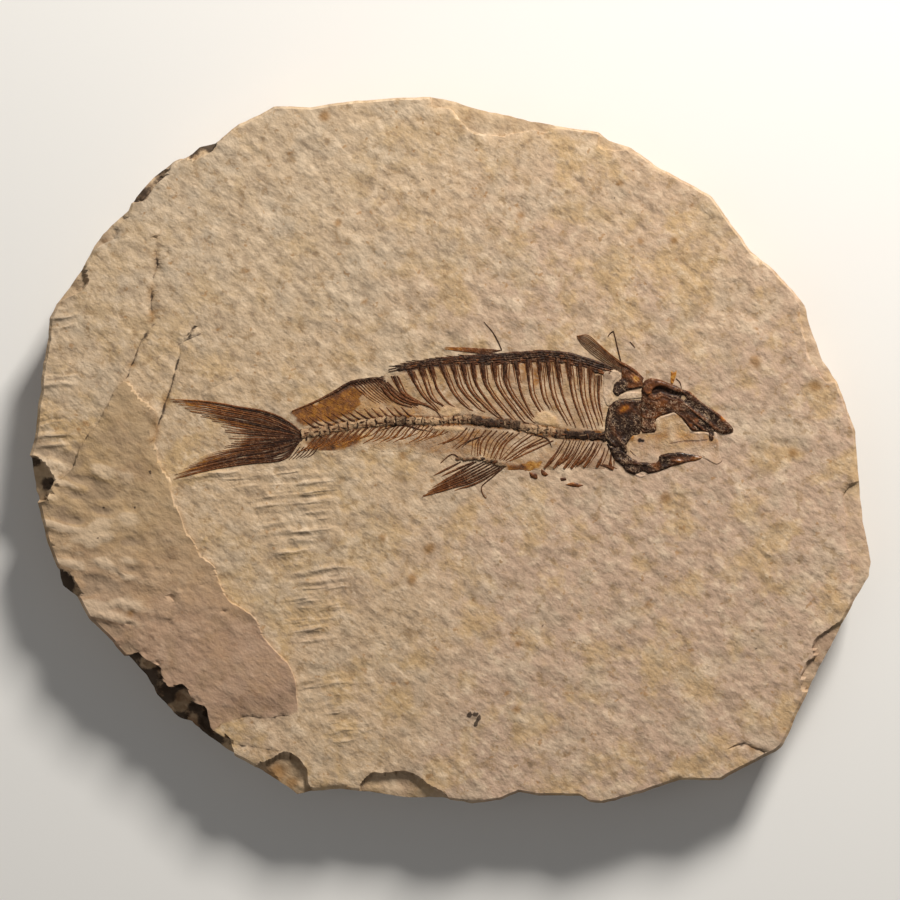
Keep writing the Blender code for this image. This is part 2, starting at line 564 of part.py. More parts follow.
clear_scene()
build_slab(make_material("limestone", STONE))
build_backbone(make_material("backbone_bone", PALE_BONE))
build_scutes(make_material("scute_bone", DARK_BONE))
build_fins(make_material("fin_bone", RED_BONE))
build_head(make_material("head_bone", DARK_BONE))
build_chips(make_material("chip_bone", RED_BONE))
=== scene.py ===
import math

import bpy
import numpy as np
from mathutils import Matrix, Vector
from mathutils.bvhtree import BVHTree


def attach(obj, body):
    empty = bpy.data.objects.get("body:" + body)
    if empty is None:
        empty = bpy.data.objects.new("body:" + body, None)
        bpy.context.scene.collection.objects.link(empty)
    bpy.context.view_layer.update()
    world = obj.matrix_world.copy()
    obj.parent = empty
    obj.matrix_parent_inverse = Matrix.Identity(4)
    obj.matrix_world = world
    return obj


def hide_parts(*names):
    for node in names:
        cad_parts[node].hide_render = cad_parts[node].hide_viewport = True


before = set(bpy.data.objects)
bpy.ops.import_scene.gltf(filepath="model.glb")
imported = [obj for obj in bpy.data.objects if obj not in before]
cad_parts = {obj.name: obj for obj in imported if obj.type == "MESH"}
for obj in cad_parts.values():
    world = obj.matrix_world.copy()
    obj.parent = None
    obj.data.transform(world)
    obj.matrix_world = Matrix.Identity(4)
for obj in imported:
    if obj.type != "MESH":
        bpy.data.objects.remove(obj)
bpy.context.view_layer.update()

# Slab: one piece of pale lithographic limestone, split along its bedding and knapped round by
# hand. A thin sheet of the bed above still covers the left side. Places are in millimetres
# from the middle of the slab, with +X to the snout and +Y to the belly.
MM = 0.001
BED = 12.0                # underside to the bed that the fish lies on
UPPER_SHEET = 0.65        # thickness of the sheet left on the left side
GRID_CELLS = 248          # cells across the upper face
GRAIN = (0.82, -0.57)     # direction in which the bed's mottles are drawn out
CRISP_REACH = 1.4         # how far from a broken edge the mesh is gathered towards it
CRISP_GRIP = 0.45         # within this, the mesh is drawn right up to the edge
STRETCH = 0.7             # length of the stretches in a line of broken stone
TOP = 13.1                # no stone stands higher
TOP_BLEND = 0.08          # how softly the stone levels off there
SHARP_ANGLE = math.radians(32)

SLAB_EDGE = (
    (-80.2, 14.2), (-78.8, 21.8), (-78.5, 25.7), (-76.6, 29.4), (-75.1, 31.2), (-71.7, 36.1),
    (-69.7, 40.0), (-67.9, 42.5), (-63.0, 47.0), (-61.6, 49.8), (-58.1, 53.7), (-54.0, 56.6),
    (-51.5, 57.6), (-49.1, 59.5), (-45.4, 60.5), (-41.3, 64.0), (-37.5, 65.6), (-34.4, 67.4),
    (-27.2, 67.2), (-20.4, 68.3), (-9.8, 69.1), (-3.9, 69.3), (0.4, 68.5), (5.6, 66.8),
    (11.3, 65.6), (16.2, 64.4), (21.1, 63.6), (29.3, 62.3), (31.1, 60.7), (35.2, 59.5),
    (41.0, 55.4), (49.4, 50.9), (51.2, 49.8), (55.1, 44.3), (59.2, 38.8), (63.5, 35.3),
    (66.1, 32.5), (69.6, 28.4), (70.4, 24.7), (73.1, 17.5), (75.7, 13.6), (77.2, 9.9),
    (79.4, 3.6), (80.0, -4.0), (80.9, -13.8), (82.1, -19.1), (82.5, -22.0), (82.1, -24.8),
    (80.0, -28.3), (77.8, -32.2), (74.5, -39.0), (72.3, -42.9), (68.4, -51.0), (65.3, -57.8),
    (63.9, -59.0), (59.0, -61.5), (53.0, -64.7), (45.1, -64.7), (38.3, -67.0), (30.1, -69.3),
    (27.4, -69.0), (25.6, -67.8), (17.6, -67.8), (13.5, -67.0), (9.7, -68.6), (4.5, -69.3),
    (-1.6, -68.2), (-8.4, -68.2), (-14.7, -67.2), (-21.5, -66.4), (-27.6, -67.0), (-30.0, -67.6),
    (-33.3, -65.2), (-37.8, -62.3), (-43.2, -59.4), (-48.7, -55.7), (-50.9, -53.5),
    (-53.2, -52.9), (-57.7, -48.4), (-59.7, -44.7), (-62.8, -41.4), (-66.3, -37.3),
    (-70.6, -33.2), (-72.8, -29.1), (-76.1, -26.7), (-76.9, -23.0), (-78.8, -18.3),
    (-80.2, -12.6), (-81.6, -7.4), (-82.2, -3.6), (-82.5, -1.1), (-81.4, 2.4), (-80.8, 8.5),
    (-80.2, 11.6),
)
SHEET_EDGE = (
    (-86.0, -4.0), (-80.6, -8.3), (-79.0, -9.3), (-77.1, -6.4), (-74.0, -3.6), (-72.2, 0.7),
    (-69.5, 4.4), (-67.1, 8.1), (-65.5, 11.6), (-63.8, 13.4), (-62.0, 12.2), (-60.5, 9.9),
    (-59.1, 9.1), (-56.9, 7.1), (-57.3, 5.0), (-58.1, 1.6), (-56.5, -3.6), (-55.0, -5.6),
    (-53.8, -10.3), (-51.9, -15.4), (-48.9, -20.5), (-46.0, -22.8), (-44.8, -27.1),
    (-43.2, -29.6), (-38.6, -32.2), (-37.2, -34.5), (-36.0, -37.3), (-31.7, -41.6),
    (-30.1, -45.5), (-29.8, -50.8), (-32.1, -51.9), (-35.0, -52.5), (-40.3, -52.3),
    (-44.6, -53.3), (-52.0, -60.0),
)
SHEET_OUTSIDE = ((-70.0, -80.0), (-95.0, -60.0), (-95.0, -10.0))

# Flakes knocked off the rim: floor, roughness of the floor, and outline
RIM_FLAKES = (
    (11.35, 0.10, ((-4.3, 70.7), (-3.5, 67.5), (0.4, 66.8), (1.9, 64.4), (3.9, 62.9),
                   (6.8, 61.9), (9.7, 61.5), (13.7, 61.9), (16.6, 62.5), (19.1, 62.3),
                   (20.7, 65.4))),
    (11.5, 0.10, ((28.9, 63.4), (29.3, 59.3), (31.7, 58.6), (34.4, 58.9), (37.1, 59.7),
                  (35.2, 62.5))),
    (10.4, 0.35, ((-47.9, 62.5), (-45.6, 59.9), (-46.4, 58.0), (-48.9, 57.0), (-51.9, 57.0),
                  (-54.8, 58.6))),
    (10.6, 0.35, ((-53.8, 58.6), (-54.4, 55.4), (-57.1, 52.3), (-59.7, 49.0), (-61.8, 48.2),
                  (-64.2, 49.8))),
    (11.25, 0.20, ((-64.6, 48.8), (-63.4, 45.6), (-66.1, 41.3), (-68.7, 39.4), (-71.6, 41.0))),
    (11.0, 0.25, ((-72.4, 36.6), (-70.4, 33.1), (-72.0, 31.0), (-75.1, 29.6), (-76.9, 28.8),
                  (-78.6, 31.2))),
    (11.3, 0.10, ((81.5, -5.6), (78.6, -6.6), (76.9, -8.6), (77.2, -11.9), (77.8, -17.7),
                  (78.2, -21.6), (79.2, -25.5), (78.2, -30.2), (84.1, -30.2), (86.0, -13.8),
                  (84.1, -5.4))),
    (11.4, 0.10, ((66.1, 33.9), (68.2, 29.6), (68.4, 25.3), (69.4, 20.4), (71.4, 16.5),
                  (73.7, 13.2), (78.2, 15.5), (72.3, 31.2))),
    (11.0, 0.15, ((76.6, -33.8), (73.9, -35.3), (71.4, -37.1), (71.0, -38.4), (71.4, -40.4),
                  (69.8, -41.6), (68.6, -45.1), (69.0, -47.4), (74.3, -47.1), (80.2, -37.3))),
    (10.9, 0.15, ((-18.4, -68.6), (-17.4, -65.2), (-15.5, -63.1), (-12.9, -62.7), (-9.0, -62.5),
                  (-6.1, -63.7), (-3.5, -65.4), (0.0, -67.8), (-0.4, -70.9), (-15.7, -70.9))),
    (10.6, 0.30, ((-38.4, -64.7), (-38.0, -61.7), (-35.6, -60.2), (-32.3, -59.2),
                  (-29.4, -60.2), (-27.8, -62.3), (-27.6, -65.0), (-26.2, -67.6),
                  (-29.4, -70.1))),
    (8.9, 0.50, ((-84.5, -0.5), (-81.0, -1.1), (-78.6, -3.1), (-77.1, -5.6), (-78.8, -9.9),
                 (-81.4, -10.7), (-84.1, -7.9))),
    (10.2, 0.35, ((-79.4, -22.8), (-76.3, -23.0), (-74.0, -24.2), (-72.2, -27.5),
                  (-73.2, -29.5), (-76.7, -29.5))),
    (8.2, 0.80, ((-65.0, -41.2), (-61.2, -39.6), (-58.7, -41.2), (-56.7, -42.4),
                 (-56.2, -45.1), (-54.4, -46.7), (-52.8, -45.7), (-51.3, -47.1),
                 (-49.9, -49.0), (-47.9, -50.0), (-47.4, -51.4), (-46.6, -54.5),
                 (-45.2, -55.9), (-43.1, -56.8), (-41.9, -61.5), (-50.9, -62.7),
                 (-64.6, -49.0))),
)

# Hairline cracks: depth, half width, darkness and line
CRACKS = (
    (0.40, 0.24, 0.64, ((-57.3, 41.7), (-57.1, 39.0), (-57.9, 32.2), (-58.5, 28.6),
                       (-58.3, 25.3), (-59.5, 23.4), (-62.0, 18.1), (-63.0, 14.7),
                       (-63.8, 13.4))),
    (0.40, 0.26, 0.68, ((-49.7, 23.9), (-51.7, 22.0), (-52.8, 19.8), (-54.4, 13.4),
                       (-55.4, 10.1), (-56.2, 7.1), (-58.1, 1.6))),
    (0.40, 0.20, 0.6, ((54.3, -58.2), (57.9, -57.2), (61.4, -59.2), (62.2, -60.2))),
    (0.12, 0.16, 0.6, ((-8.4, 51.9), (-8.2, 53.1), (-7.3, 53.8), (-5.9, 53.7), (-4.9, 52.9))),
    (0.12, 0.25, 0.45, ((-60.1, 15.9), (-57.8, 17.8), (-55.8, 19.0))),
    (0.10, 0.16, 0.40, ((-50.5, 10.1), (-47.9, 11.6), (-44.0, 13.6), (-40.3, 15.1))),
    (0.10, 0.16, 0.40, ((-73.5, 39.8), (-70.9, 37.4), (-68.8, 36.6))),
    (0.14, 0.20, 0.55, ((-43.8, -57.4), (-40.5, -58.2), (-36.5, -58.4), (-31.0, -59.2))),
    (0.16, 0.20, 0.60, ((-60.2, 21.8), (-59.0, 23.2), (-57.6, 24.6))),
    (0.16, 0.20, 0.60, ((-52.8, 20.6), (-51.2, 21.8), (-48.6, 22.8))),
)

# Folds pressed into the bed behind the tail: left end, middle and right end
FOLDS = (
    ((-52.4, -5.6), (-34.3, -5.4), (-22.0, -5.4)),
    ((-37.6, -10.0), (-29.8, -9.3), (-22.0, -7.6)),
    ((-38.7, -12.2), (-31.0, -11.9), (-23.1, -11.1)),
    ((-37.0, -14.6), (-30.0, -14.2), (-22.9, -13.6)),
    ((-37.0, -17.0), (-30.0, -16.2), (-26.3, -16.3)),
    ((-34.5, -21.6), (-30.0, -21.2), (-26.0, -20.5)),
    ((-31.9, -25.4), (-25.7, -24.2), (-20.6, -23.2)),
    ((-32.0, -27.8), (-25.7, -26.4), (-20.6, -25.8)),
    ((-32.5, -30.2), (-27.4, -29.3), (-20.6, -28.2)),
    ((-32.0, -32.2), (-26.5, -31.6), (-21.0, -31.0)),
    ((-31.8, -35.0), (-27.0, -35.4), (-22.2, -35.8)),
    ((-29.0, -45.4), (-23.0, -46.0), (-17.4, -46.5)),
    ((-25.3, -51.0), (-20.5, -51.2), (-15.4, -53.5)),
    ((-23.6, -54.4), (-20.5, -55.4), (-18.0, -56.8)),
    ((-80.6, 11.0), (-76.5, 13.5), (-72.5, 17.0)),
    ((-81.0, 5.5), (-77.0, 6.0), (-73.0, 8.0)),
    ((-81.0, 2.5), (-77.5, 2.0), (-74.0, 3.0)),
    ((-79.0, 24.0), (-75.0, 26.5), (-72.0, 30.0)),
)

# Specks of iron stain and of dark mineral: place and radius
OCHRE_SPOTS = (
    (-24.5, 65.2, 1.3), (-21.9, 44.5, 0.8), (-16.7, 29.0, 0.7), (-39.9, 34.9, 0.7),
    (33.2, 52.3, 0.9), (44.0, 41.1, 0.8), (60.0, 17.3, 1.4), (71.4, 12.6, 1.2), (67.4, -0.5, 1.2),
    (42.2, -9.5, 1.3), (38.7, -30.2, 0.8), (13.3, -37.9, 0.8), (12.9, -51.0, 0.8),
    (-7.3, -25.1, 1.2), (-13.1, -17.3, 0.9), (-3.9, -19.3, 1.2), (-62.2, -31.8, 0.8),
    (-3.4, 50.5, 0.6), (47.5, 47.8, 0.6), (-9.4, -0.9, 1.0), (13.7, 45.8, 0.8), (37.1, 41.0, 0.7),
    (-58.3, 26.9, 0.8), (-58.2, 25.6, 0.7), (-62.3, 16.6, 0.8), (-33.6, -63.4, 2.4), (-31.0, -65.4, 1.5),
)
DARK_SPOTS = (
    (17.8, -34.5, 0.5), (54.9, -18.7, 0.3), (60.0, -38.8, 0.45), (-52.8, -37.7, 0.5),
    (-58.7, -4.6, 0.5), (-61.6, -11.3, 0.45), (32.4, 49.2, 0.4), (-25.8, 22.4, 0.4),
    (-67.7, -11.5, 0.5), (-70.4, -11.5, 0.4), (-68.9, -17.5, 0.5), (3.6, -51.8, 0.9), (4.8, -51.7, 0.9),
    (5.7, -52.6, 0.9), (5.2, -53.7, 0.8), (-50.6, 22.2, 0.6), (-49.6, 23.2, 0.5),
    (-57.6, 38.8, 0.3), (-57.9, 31.2, 0.6), (-59.4, 22.6, 0.6),
)


def smooth(low, high, value):
    """0 below low, 1 above high, and an even curve between."""
    part = np.clip((value - low) / (high - low), 0.0, 1.0)
    return part * part * (3.0 - 2.0 * part)


def ripple(x, y, size, seed):
    """Even random swell from -1 to 1, with its lumps about size apart."""
    table = np.random.default_rng(seed).uniform(-1.0, 1.0, (256, 256))
    u = x / size + 4096.0
    v = y / size + 4096.0
    i = np.floor(u).astype(int)
    j = np.floor(v).astype(int)
    f = smooth(0.0, 1.0, u - i)
    g = smooth(0.0, 1.0, v - j)
    near = table[i % 256, j % 256] * (1 - f) + table[(i + 1) % 256, j % 256] * f
    far = table[i % 256, (j + 1) % 256] * (1 - f) + table[(i + 1) % 256, (j + 1) % 256] * f
    return near * (1 - g) + far * g


def grained(x, y, length, width, seed):
    """Ripple drawn out along the grain of the bed."""
    along = x * GRAIN[0] + y * GRAIN[1]
    across = y * GRAIN[0] - x * GRAIN[1]
    return ripple(along * width / length, across, width, seed)


def rough_line(points, amount, seed, closed=False):
    """The same line in short stretches that wander, as the edge of broken stone does."""
    corners = np.array((*points, points[0]) if closed else points, dtype=float)
    spans = np.hypot(*(corners[1:] - corners[:-1]).T)
    travelled = np.concatenate([[0.0], np.cumsum(spans)])
    even = np.linspace(0.0, travelled[-1], int(travelled[-1] / STRETCH) + 2)
    x = np.interp(even, travelled, corners[:, 0])
    y = np.interp(even, travelled, corners[:, 1])
    shift_x = ripple(x, y, 2.6, seed) + 0.4 * ripple(x, y, 1.5, seed + 1)
    shift_y = ripple(x, y, 2.6, seed + 2) + 0.4 * ripple(x, y, 1.5, seed + 3)
    made = list(zip((x + amount * shift_x).tolist(), (y + amount * shift_y).tolist()))
    return made[:-1] if closed else made


def to_line(x, y, line):
    """Distance from each point to a line of straight stretches, and the nearest place on it."""
    best = np.full(x.shape, 1e9)
    near_x = np.array(x, dtype=float)
    near_y = np.array(y, dtype=float)
    for (ax, ay), (bx, by) in zip(line, line[1:]):
        dx = bx - ax
        dy = by - ay
        part = np.clip(((x - ax) * dx + (y - ay) * dy) / (dx * dx + dy * dy), 0.0, 1.0)
        px = ax + dx * part
        py = ay + dy * part
        distance = np.hypot(x - px, y - py)
        closer = distance < best
        best = np.where(closer, distance, best)
        near_x = np.where(closer, px, near_x)
        near_y = np.where(closer, py, near_y)
    return best, near_x, near_y


def depth_in(x, y, outline):
    """Distance to a closed outline, positive inside it."""
    distance, _, _ = to_line(x, y, (*outline, outline[0]))
    within = np.zeros(x.shape, dtype=bool)
    for (ax, ay), (bx, by) in zip(outline, (*outline[1:], outline[0])):
        if ay == by:
            continue
        crosses = (ay > y) != (by > y)
        within ^= crosses & (x < ax + (y - ay) * (bx - ax) / (by - ay))
    return np.where(within, distance, -distance)


def edge_radius(angle):
    """Distance from the slab's middle to its edge in each direction."""
    reach = np.zeros(angle.shape)
    ux = np.cos(angle)
    uy = np.sin(angle)
    for (ax, ay), (bx, by) in zip(SLAB_EDGE, (*SLAB_EDGE[1:], SLAB_EDGE[0])):
        dx = bx - ax
        dy = by - ay
        cross = ux * dy - uy * dx
        cross = np.where(np.abs(cross) < 1e-12, 1e-12, cross)
        distance = (ax * dy - ay * dx) / cross
        part = (ax * uy - ay * ux) / cross
        hit = (distance > 0.0) & (part >= -1e-9) & (part <= 1.0 + 1e-9)
        reach = np.where(hit, np.maximum(reach, distance), reach)
    return reach


sheet_line = rough_line(SHEET_EDGE, 0.30, 30)
crack_lines = []
for number, (depth, half, darkness, line) in enumerate(CRACKS):
    crack_lines.append((depth, half, darkness, rough_line(line, 0.36, 40 + 4 * number)))
# The sheet's edge is itself cracked at its upper left and along its lower end
upper_left = [spot for spot in sheet_line if spot[0] < -63.6 and spot[1] > 0.5]
lower_end = [spot for spot in sheet_line if spot[0] > -44.8 and spot[1] < -50.6]
crack_lines += [(0.25, 0.20, 0.55, upper_left), (0.12, 0.18, 0.50, lower_end)]
flake_lines = []
for number, (_, _, outline) in enumerate(RIM_FLAKES):
    flake_lines.append(rough_line(outline, 0.35, 400 + 4 * number, closed=True))


def flake_masks(x, y):
    """Height that the rim's flakes leave at each point, and how freshly broken it is."""
    floor = np.full(x.shape, 99.0)
    broken = np.zeros(x.shape)
    for number, (level, rough, _) in enumerate(RIM_FLAKES):
        depth = depth_in(x, y, flake_lines[number])
        lumps = ripple(x, y, 2.6, 50 + number) + 0.6 * ripple(x, y, 0.9, 70 + number)
        soft = 0.9 if level > 11.1 else 0.05
        cut = level + rough * lumps + 5.0 * smooth(0.12, -soft, depth)
        floor = np.minimum(floor, cut)
        broken = np.maximum(broken, smooth(-0.05, 0.15, depth) * min(1.0, 0.15 + 2.6 * rough))
    return floor, broken


def bed_face(x, y):
    """Height of the upper face and the masks that its colours use."""
    wander_x = x + 0.30 * ripple(x, y, 1.9, 1) + 0.12 * ripple(x, y, 0.7, 2)
    wander_y = y + 0.30 * ripple(x, y, 1.9, 3) + 0.12 * ripple(x, y, 0.7, 4)
    height = BED + 0.20 * ripple(x, y, 34.0, 5) + 0.09 * ripple(x, y, 11.0, 6)
    height += 0.07 * grained(x, y, 5.5, 3.8, 7) + 0.06 * grained(x, y, 3.2, 2.2, 8)

    on_sheet = depth_in(x, y, tuple(sheet_line) + SHEET_OUTSIDE)
    sheet = smooth(-0.05, 0.05, on_sheet)
    swell = 0.12 * smooth(0.0, 14.0, on_sheet) * ripple(x, y, 6.0, 10)
    thinning = 0.15 + 0.85 * smooth(0.3, 5.0, to_line(x, y, SHEET_EDGE[-6:])[0])
    height += sheet * (UPPER_SHEET + swell) * thinning

    lumpy = smooth(-58.0, -69.0, x + 0.15 * y) * smooth(12.0, -8.0, y) * smooth(-44.0, -34.0, y)
    rolls = 0.85 * ripple(x * 0.30, y + 0.25 * x, 1.7, 11) + 0.35 * ripple(x * 0.5, y - 0.1 * x, 1.3, 12)
    height += lumpy * (0.40 * rolls - 0.30)

    folds = np.zeros(x.shape)
    drift_y = y + 0.40 * ripple(x, y, 6.5, 9)
    for number, line in enumerate(FOLDS):
        distance, _, _ = to_line(x, drift_y, line)
        above = drift_y - np.interp(x, [p[0] for p in line], [p[1] for p in line])
        crest = np.exp(-((above - 0.45) / 0.5) ** 2) - np.exp(-((above + 0.35) / 0.45) ** 2)
        left_end = smooth(line[0][0] - 2.0, line[0][0] + 3.0, x)
        ends = left_end * smooth(line[-1][0] + 2.0, line[-1][0] - 3.0, x)
        strength = 0.75 + 0.35 * ripple(x, y, 5.0, 20 + number)
        height += 0.14 * crest * ends * strength * smooth(2.0, 1.0, distance)
        marked = ends * smooth(3.4, 0.8, distance) * (0.65 + 0.45 * ripple(x, y, 4.0, 19))
        folds = np.maximum(folds, marked)

    dark = np.zeros(x.shape)
    ochre = np.zeros(x.shape)
    for depth, half, darkness, line in crack_lines:
        distance, _, _ = to_line(x, y, line)
        opening = 0.58 + 0.55 * ripple(x, y, 2.7, 13) + 0.40 * ripple(x, y, 0.9, 17)
        opening = np.clip(opening, 0.0, 1.0)
        height -= depth * smooth(half * (0.7 + 0.5 * opening), 0.0, distance) * opening
        gap = smooth(0.32 + 0.30 * opening, 0.0, distance)
        dark = np.maximum(dark, darkness * gap * (0.35 + 0.75 * opening))
        if depth > 0.3:
            rusty = smooth(1.0, 0.2, distance) * smooth(-0.25, 0.45, ripple(x, y, 3.1, 18))
            ochre = np.maximum(ochre, 0.8 * rusty)
    for px, py, radius in DARK_SPOTS:
        spot = np.hypot(wander_x - px, wander_y - py)
        dark = np.maximum(dark, (0.45 + 0.6 * radius) * smooth(radius, radius * 0.3, spot))
    for px, py, radius in OCHRE_SPOTS:
        spot = np.hypot(wander_x - px, wander_y - py)
        ochre = np.maximum(ochre, smooth(radius * 1.3, radius * 0.35, spot))
    # rolls carries the height of the rolls on the left rim, which the material turns into painted highlight
    # and painted shade
    fields = {"sheet": sheet, "dark": dark, "ochre": ochre, "folds": folds, "rolls": lumpy * rolls}
    return height, fields


# The upper face is a square grid pressed into the outline, so that its cells stay even
steps = np.linspace(-1.0, 1.0, GRID_CELLS + 1)
grid_u, grid_v = np.meshgrid(steps, steps, indexing="ij")
wide = np.abs(grid_u) >= np.abs(grid_v)
radius_part = np.where(wide, np.abs(grid_u), np.abs(grid_v))
safe_u = np.where(grid_u == 0.0, 1e-9, grid_u)
safe_v = np.where(grid_v == 0.0, 1e-9, grid_v)
angle = np.where(wide, math.pi / 4 * grid_v / safe_u, math.pi / 2 - math.pi / 4 * grid_u / safe_v)
angle = np.where(np.where(wide, grid_u, grid_v) < 0.0, angle + math.pi, angle)
rim_radius = edge_radius(angle)
rim_wobble = 0.10 * ripple(rim_radius * np.cos(angle), rim_radius * np.sin(angle), 1.3, 14) - 0.10
reach = radius_part * (rim_radius + rim_wobble)
face_x = reach * np.cos(angle)
face_y = reach * np.sin(angle)

crisp_lines = [(sheet_line, 0.05)]
for outline in flake_lines:
    crisp_lines.append(((*outline, outline[0]), 0.05))
for _, _, _, line in crack_lines:
    crisp_lines.append((line, 0.0))
free = smooth(1.0, 0.975, radius_part)
for line, stand_off in crisp_lines:
    distance, near_x, near_y = to_line(face_x, face_y, line)
    spread = (CRISP_REACH - stand_off) / (CRISP_REACH - CRISP_GRIP)
    wanted = stand_off + np.maximum(distance - CRISP_GRIP, 0.0) * spread
    pull = free * np.where(distance < CRISP_REACH, 1.0 - wanted / np.maximum(distance, 0.06), 0.0)
    face_x += (near_x - face_x) * np.clip(pull, 0.0, 0.97)
    face_y += (near_y - face_y) * np.clip(pull, 0.0, 0.97)

face_z, masks = bed_face(face_x, face_y)
flake_floor, flake_mask = flake_masks(face_x, face_y)
from_edge = (1.0 - radius_part) * rim_radius
arris = 0.55 + 0.45 * ripple(rim_radius * np.cos(angle), rim_radius * np.sin(angle), 5.0, 15)
worn = smooth(1.3 * arris, 0.0, from_edge)
face_z -= (0.35 + 0.55 * arris) * worn ** 1.6
face_z = np.minimum(face_z, flake_floor - 0.25 * worn)
face_z = TOP - np.logaddexp(0.0, (TOP - face_z) / TOP_BLEND) * TOP_BLEND
masks["broken"] = np.maximum(flake_mask, 0.5 * smooth(0.35, 0.9, worn))
# Painted shade: the flakes on the left side, away from the lamp, are darkened in patches through the dark
# mask
hollow_shade = flake_mask * smooth(-36.0, -42.0, face_x) * (0.48 + 0.55 * ripple(face_x, face_y, 2.2, 16))
masks["dark"] = np.maximum(masks["dark"], hollow_shade)

# The side: beds of different hardness, each standing out or back a little from the next
SIDE_BEDS = (
    (11.1, 0.15), (9.8, 0.0), (8.2, 0.4), (6.6, 0.1), (5.0, 0.6), (3.3, 0.5), (1.6, 1.1), (0.6, 1.6),
    (0.0, 2.6),
)
forth = np.arange(GRID_CELLS)
near_side = np.zeros_like(forth)
far_side = near_side + GRID_CELLS
ring_i = np.concatenate([forth, far_side, GRID_CELLS - forth, near_side])
ring_j = np.concatenate([near_side, forth, far_side, GRID_CELLS - forth])
ring_angle = angle[ring_i, ring_j]
ring_radius = reach[ring_i, ring_j]
ring_top = face_z[ring_i, ring_j]
ring_x = face_x[ring_i, ring_j]
ring_y = face_y[ring_i, ring_j]

side_rows = []
ceiling = ring_top - 0.03
for number, (floor, inset) in enumerate(SIDE_BEDS):
    drift = 0.25 * ripple(ring_x, ring_y, 9.0, 80 + number)
    bottom = np.minimum(floor + (drift if floor > 0.5 else 0.0), ceiling - 0.04)
    rough = 0.55 * ripple(ring_x, ring_y, 7.0, 100 + number)
    rough = rough + 0.25 * ripple(ring_x, ring_y, 1.8, 120 + number)
    set_back = np.maximum(inset + rough * (0.5 + 0.35 * inset), 0.0)
    for part, swell in ((0.08, 0.06), (0.55, 0.0), (0.97, 0.08)):
        z = ceiling + (bottom - ceiling) * part
        fine = 0.10 * ripple(ring_x + 3.1 * z, ring_y - 2.3 * z, 0.8, 140 + number)
        side_rows.append((np.maximum(set_back + swell + fine, 0.0), z))
    ceiling = bottom
seat_rows = ((0.97, 0.0), (0.82, 0.02), (0.55, 0.0), (0.25, 0.02))

columns = len(ring_i)
points = [np.stack([face_x.ravel(), face_y.ravel(), face_z.ravel()], axis=1)]
for set_back, z in side_rows:
    row_radius = ring_radius - set_back
    points.append(np.stack([row_radius * np.cos(ring_angle), row_radius * np.sin(ring_angle), z], axis=1))
foot = points[-1].copy()
foot[:, 2] = 0.0
points[-1] = foot
for scale, lift in seat_rows:
    rise = lift + 0.05 * (1 + ripple(foot[:, 0] * scale, foot[:, 1] * scale, 9.0, 160)) * (scale < 0.95)
    points.append(np.stack([foot[:, 0] * scale, foot[:, 1] * scale, rise * np.ones(columns)], axis=1))
points.append(np.array([[0.0, 0.0, 0.02]]))
vertices = np.concatenate(points)

width = GRID_CELLS + 1
cell = np.arange(GRID_CELLS)
corner = (cell[:, None] * width + cell[None, :]).ravel()
quads = [np.stack([corner, corner + width, corner + width + 1, corner + 1], axis=1)]
row_start = [ring_i * width + ring_j]
for row in range(len(side_rows) + len(seat_rows)):
    row_start.append(width * width + row * columns + np.arange(columns))
for upper, lower in zip(row_start, row_start[1:]):
    quads.append(np.stack([upper, lower, np.roll(lower, -1), np.roll(upper, -1)], axis=1))
faces = [tuple(quad) for quad in np.concatenate(quads).tolist()]
middle = len(vertices) - 1
inner = row_start[-1].tolist()
for k in range(columns):
    faces.append((inner[k], middle, inner[(k + 1) % columns]))


def new_object(name, data):
    """Object linked to the scene."""
    made = bpy.data.objects.new(name, data)
    bpy.context.scene.collection.objects.link(made)
    return made


def store(mesh, fields):
    """Keeps a value for each point of a mesh under each name, for its material."""
    for name, values in fields.items():
        layer = mesh.attributes.new(name, "FLOAT", "POINT")
        layer.data.foreach_set("value", values)


slab_mesh = bpy.data.meshes.new("slab_stone")
slab_mesh.from_pydata((vertices * MM).tolist(), [], faces)
slab_mesh.update()
slab = new_object("slab_stone", slab_mesh)
slab_mesh.shade_smooth()
slab_mesh.set_sharp_from_angle(angle=SHARP_ANGLE)

# The side and the underside are bare broken stone
side_count = len(vertices) - width * width
slab_fields = {}
for name in ("sheet", "dark", "ochre", "folds", "rolls", "broken"):
    on_side = np.full(side_count, 1.0 if name == "broken" else 0.0)
    slab_fields[name] = np.concatenate([masks[name].ravel(), on_side])
store(slab_mesh, slab_fields)


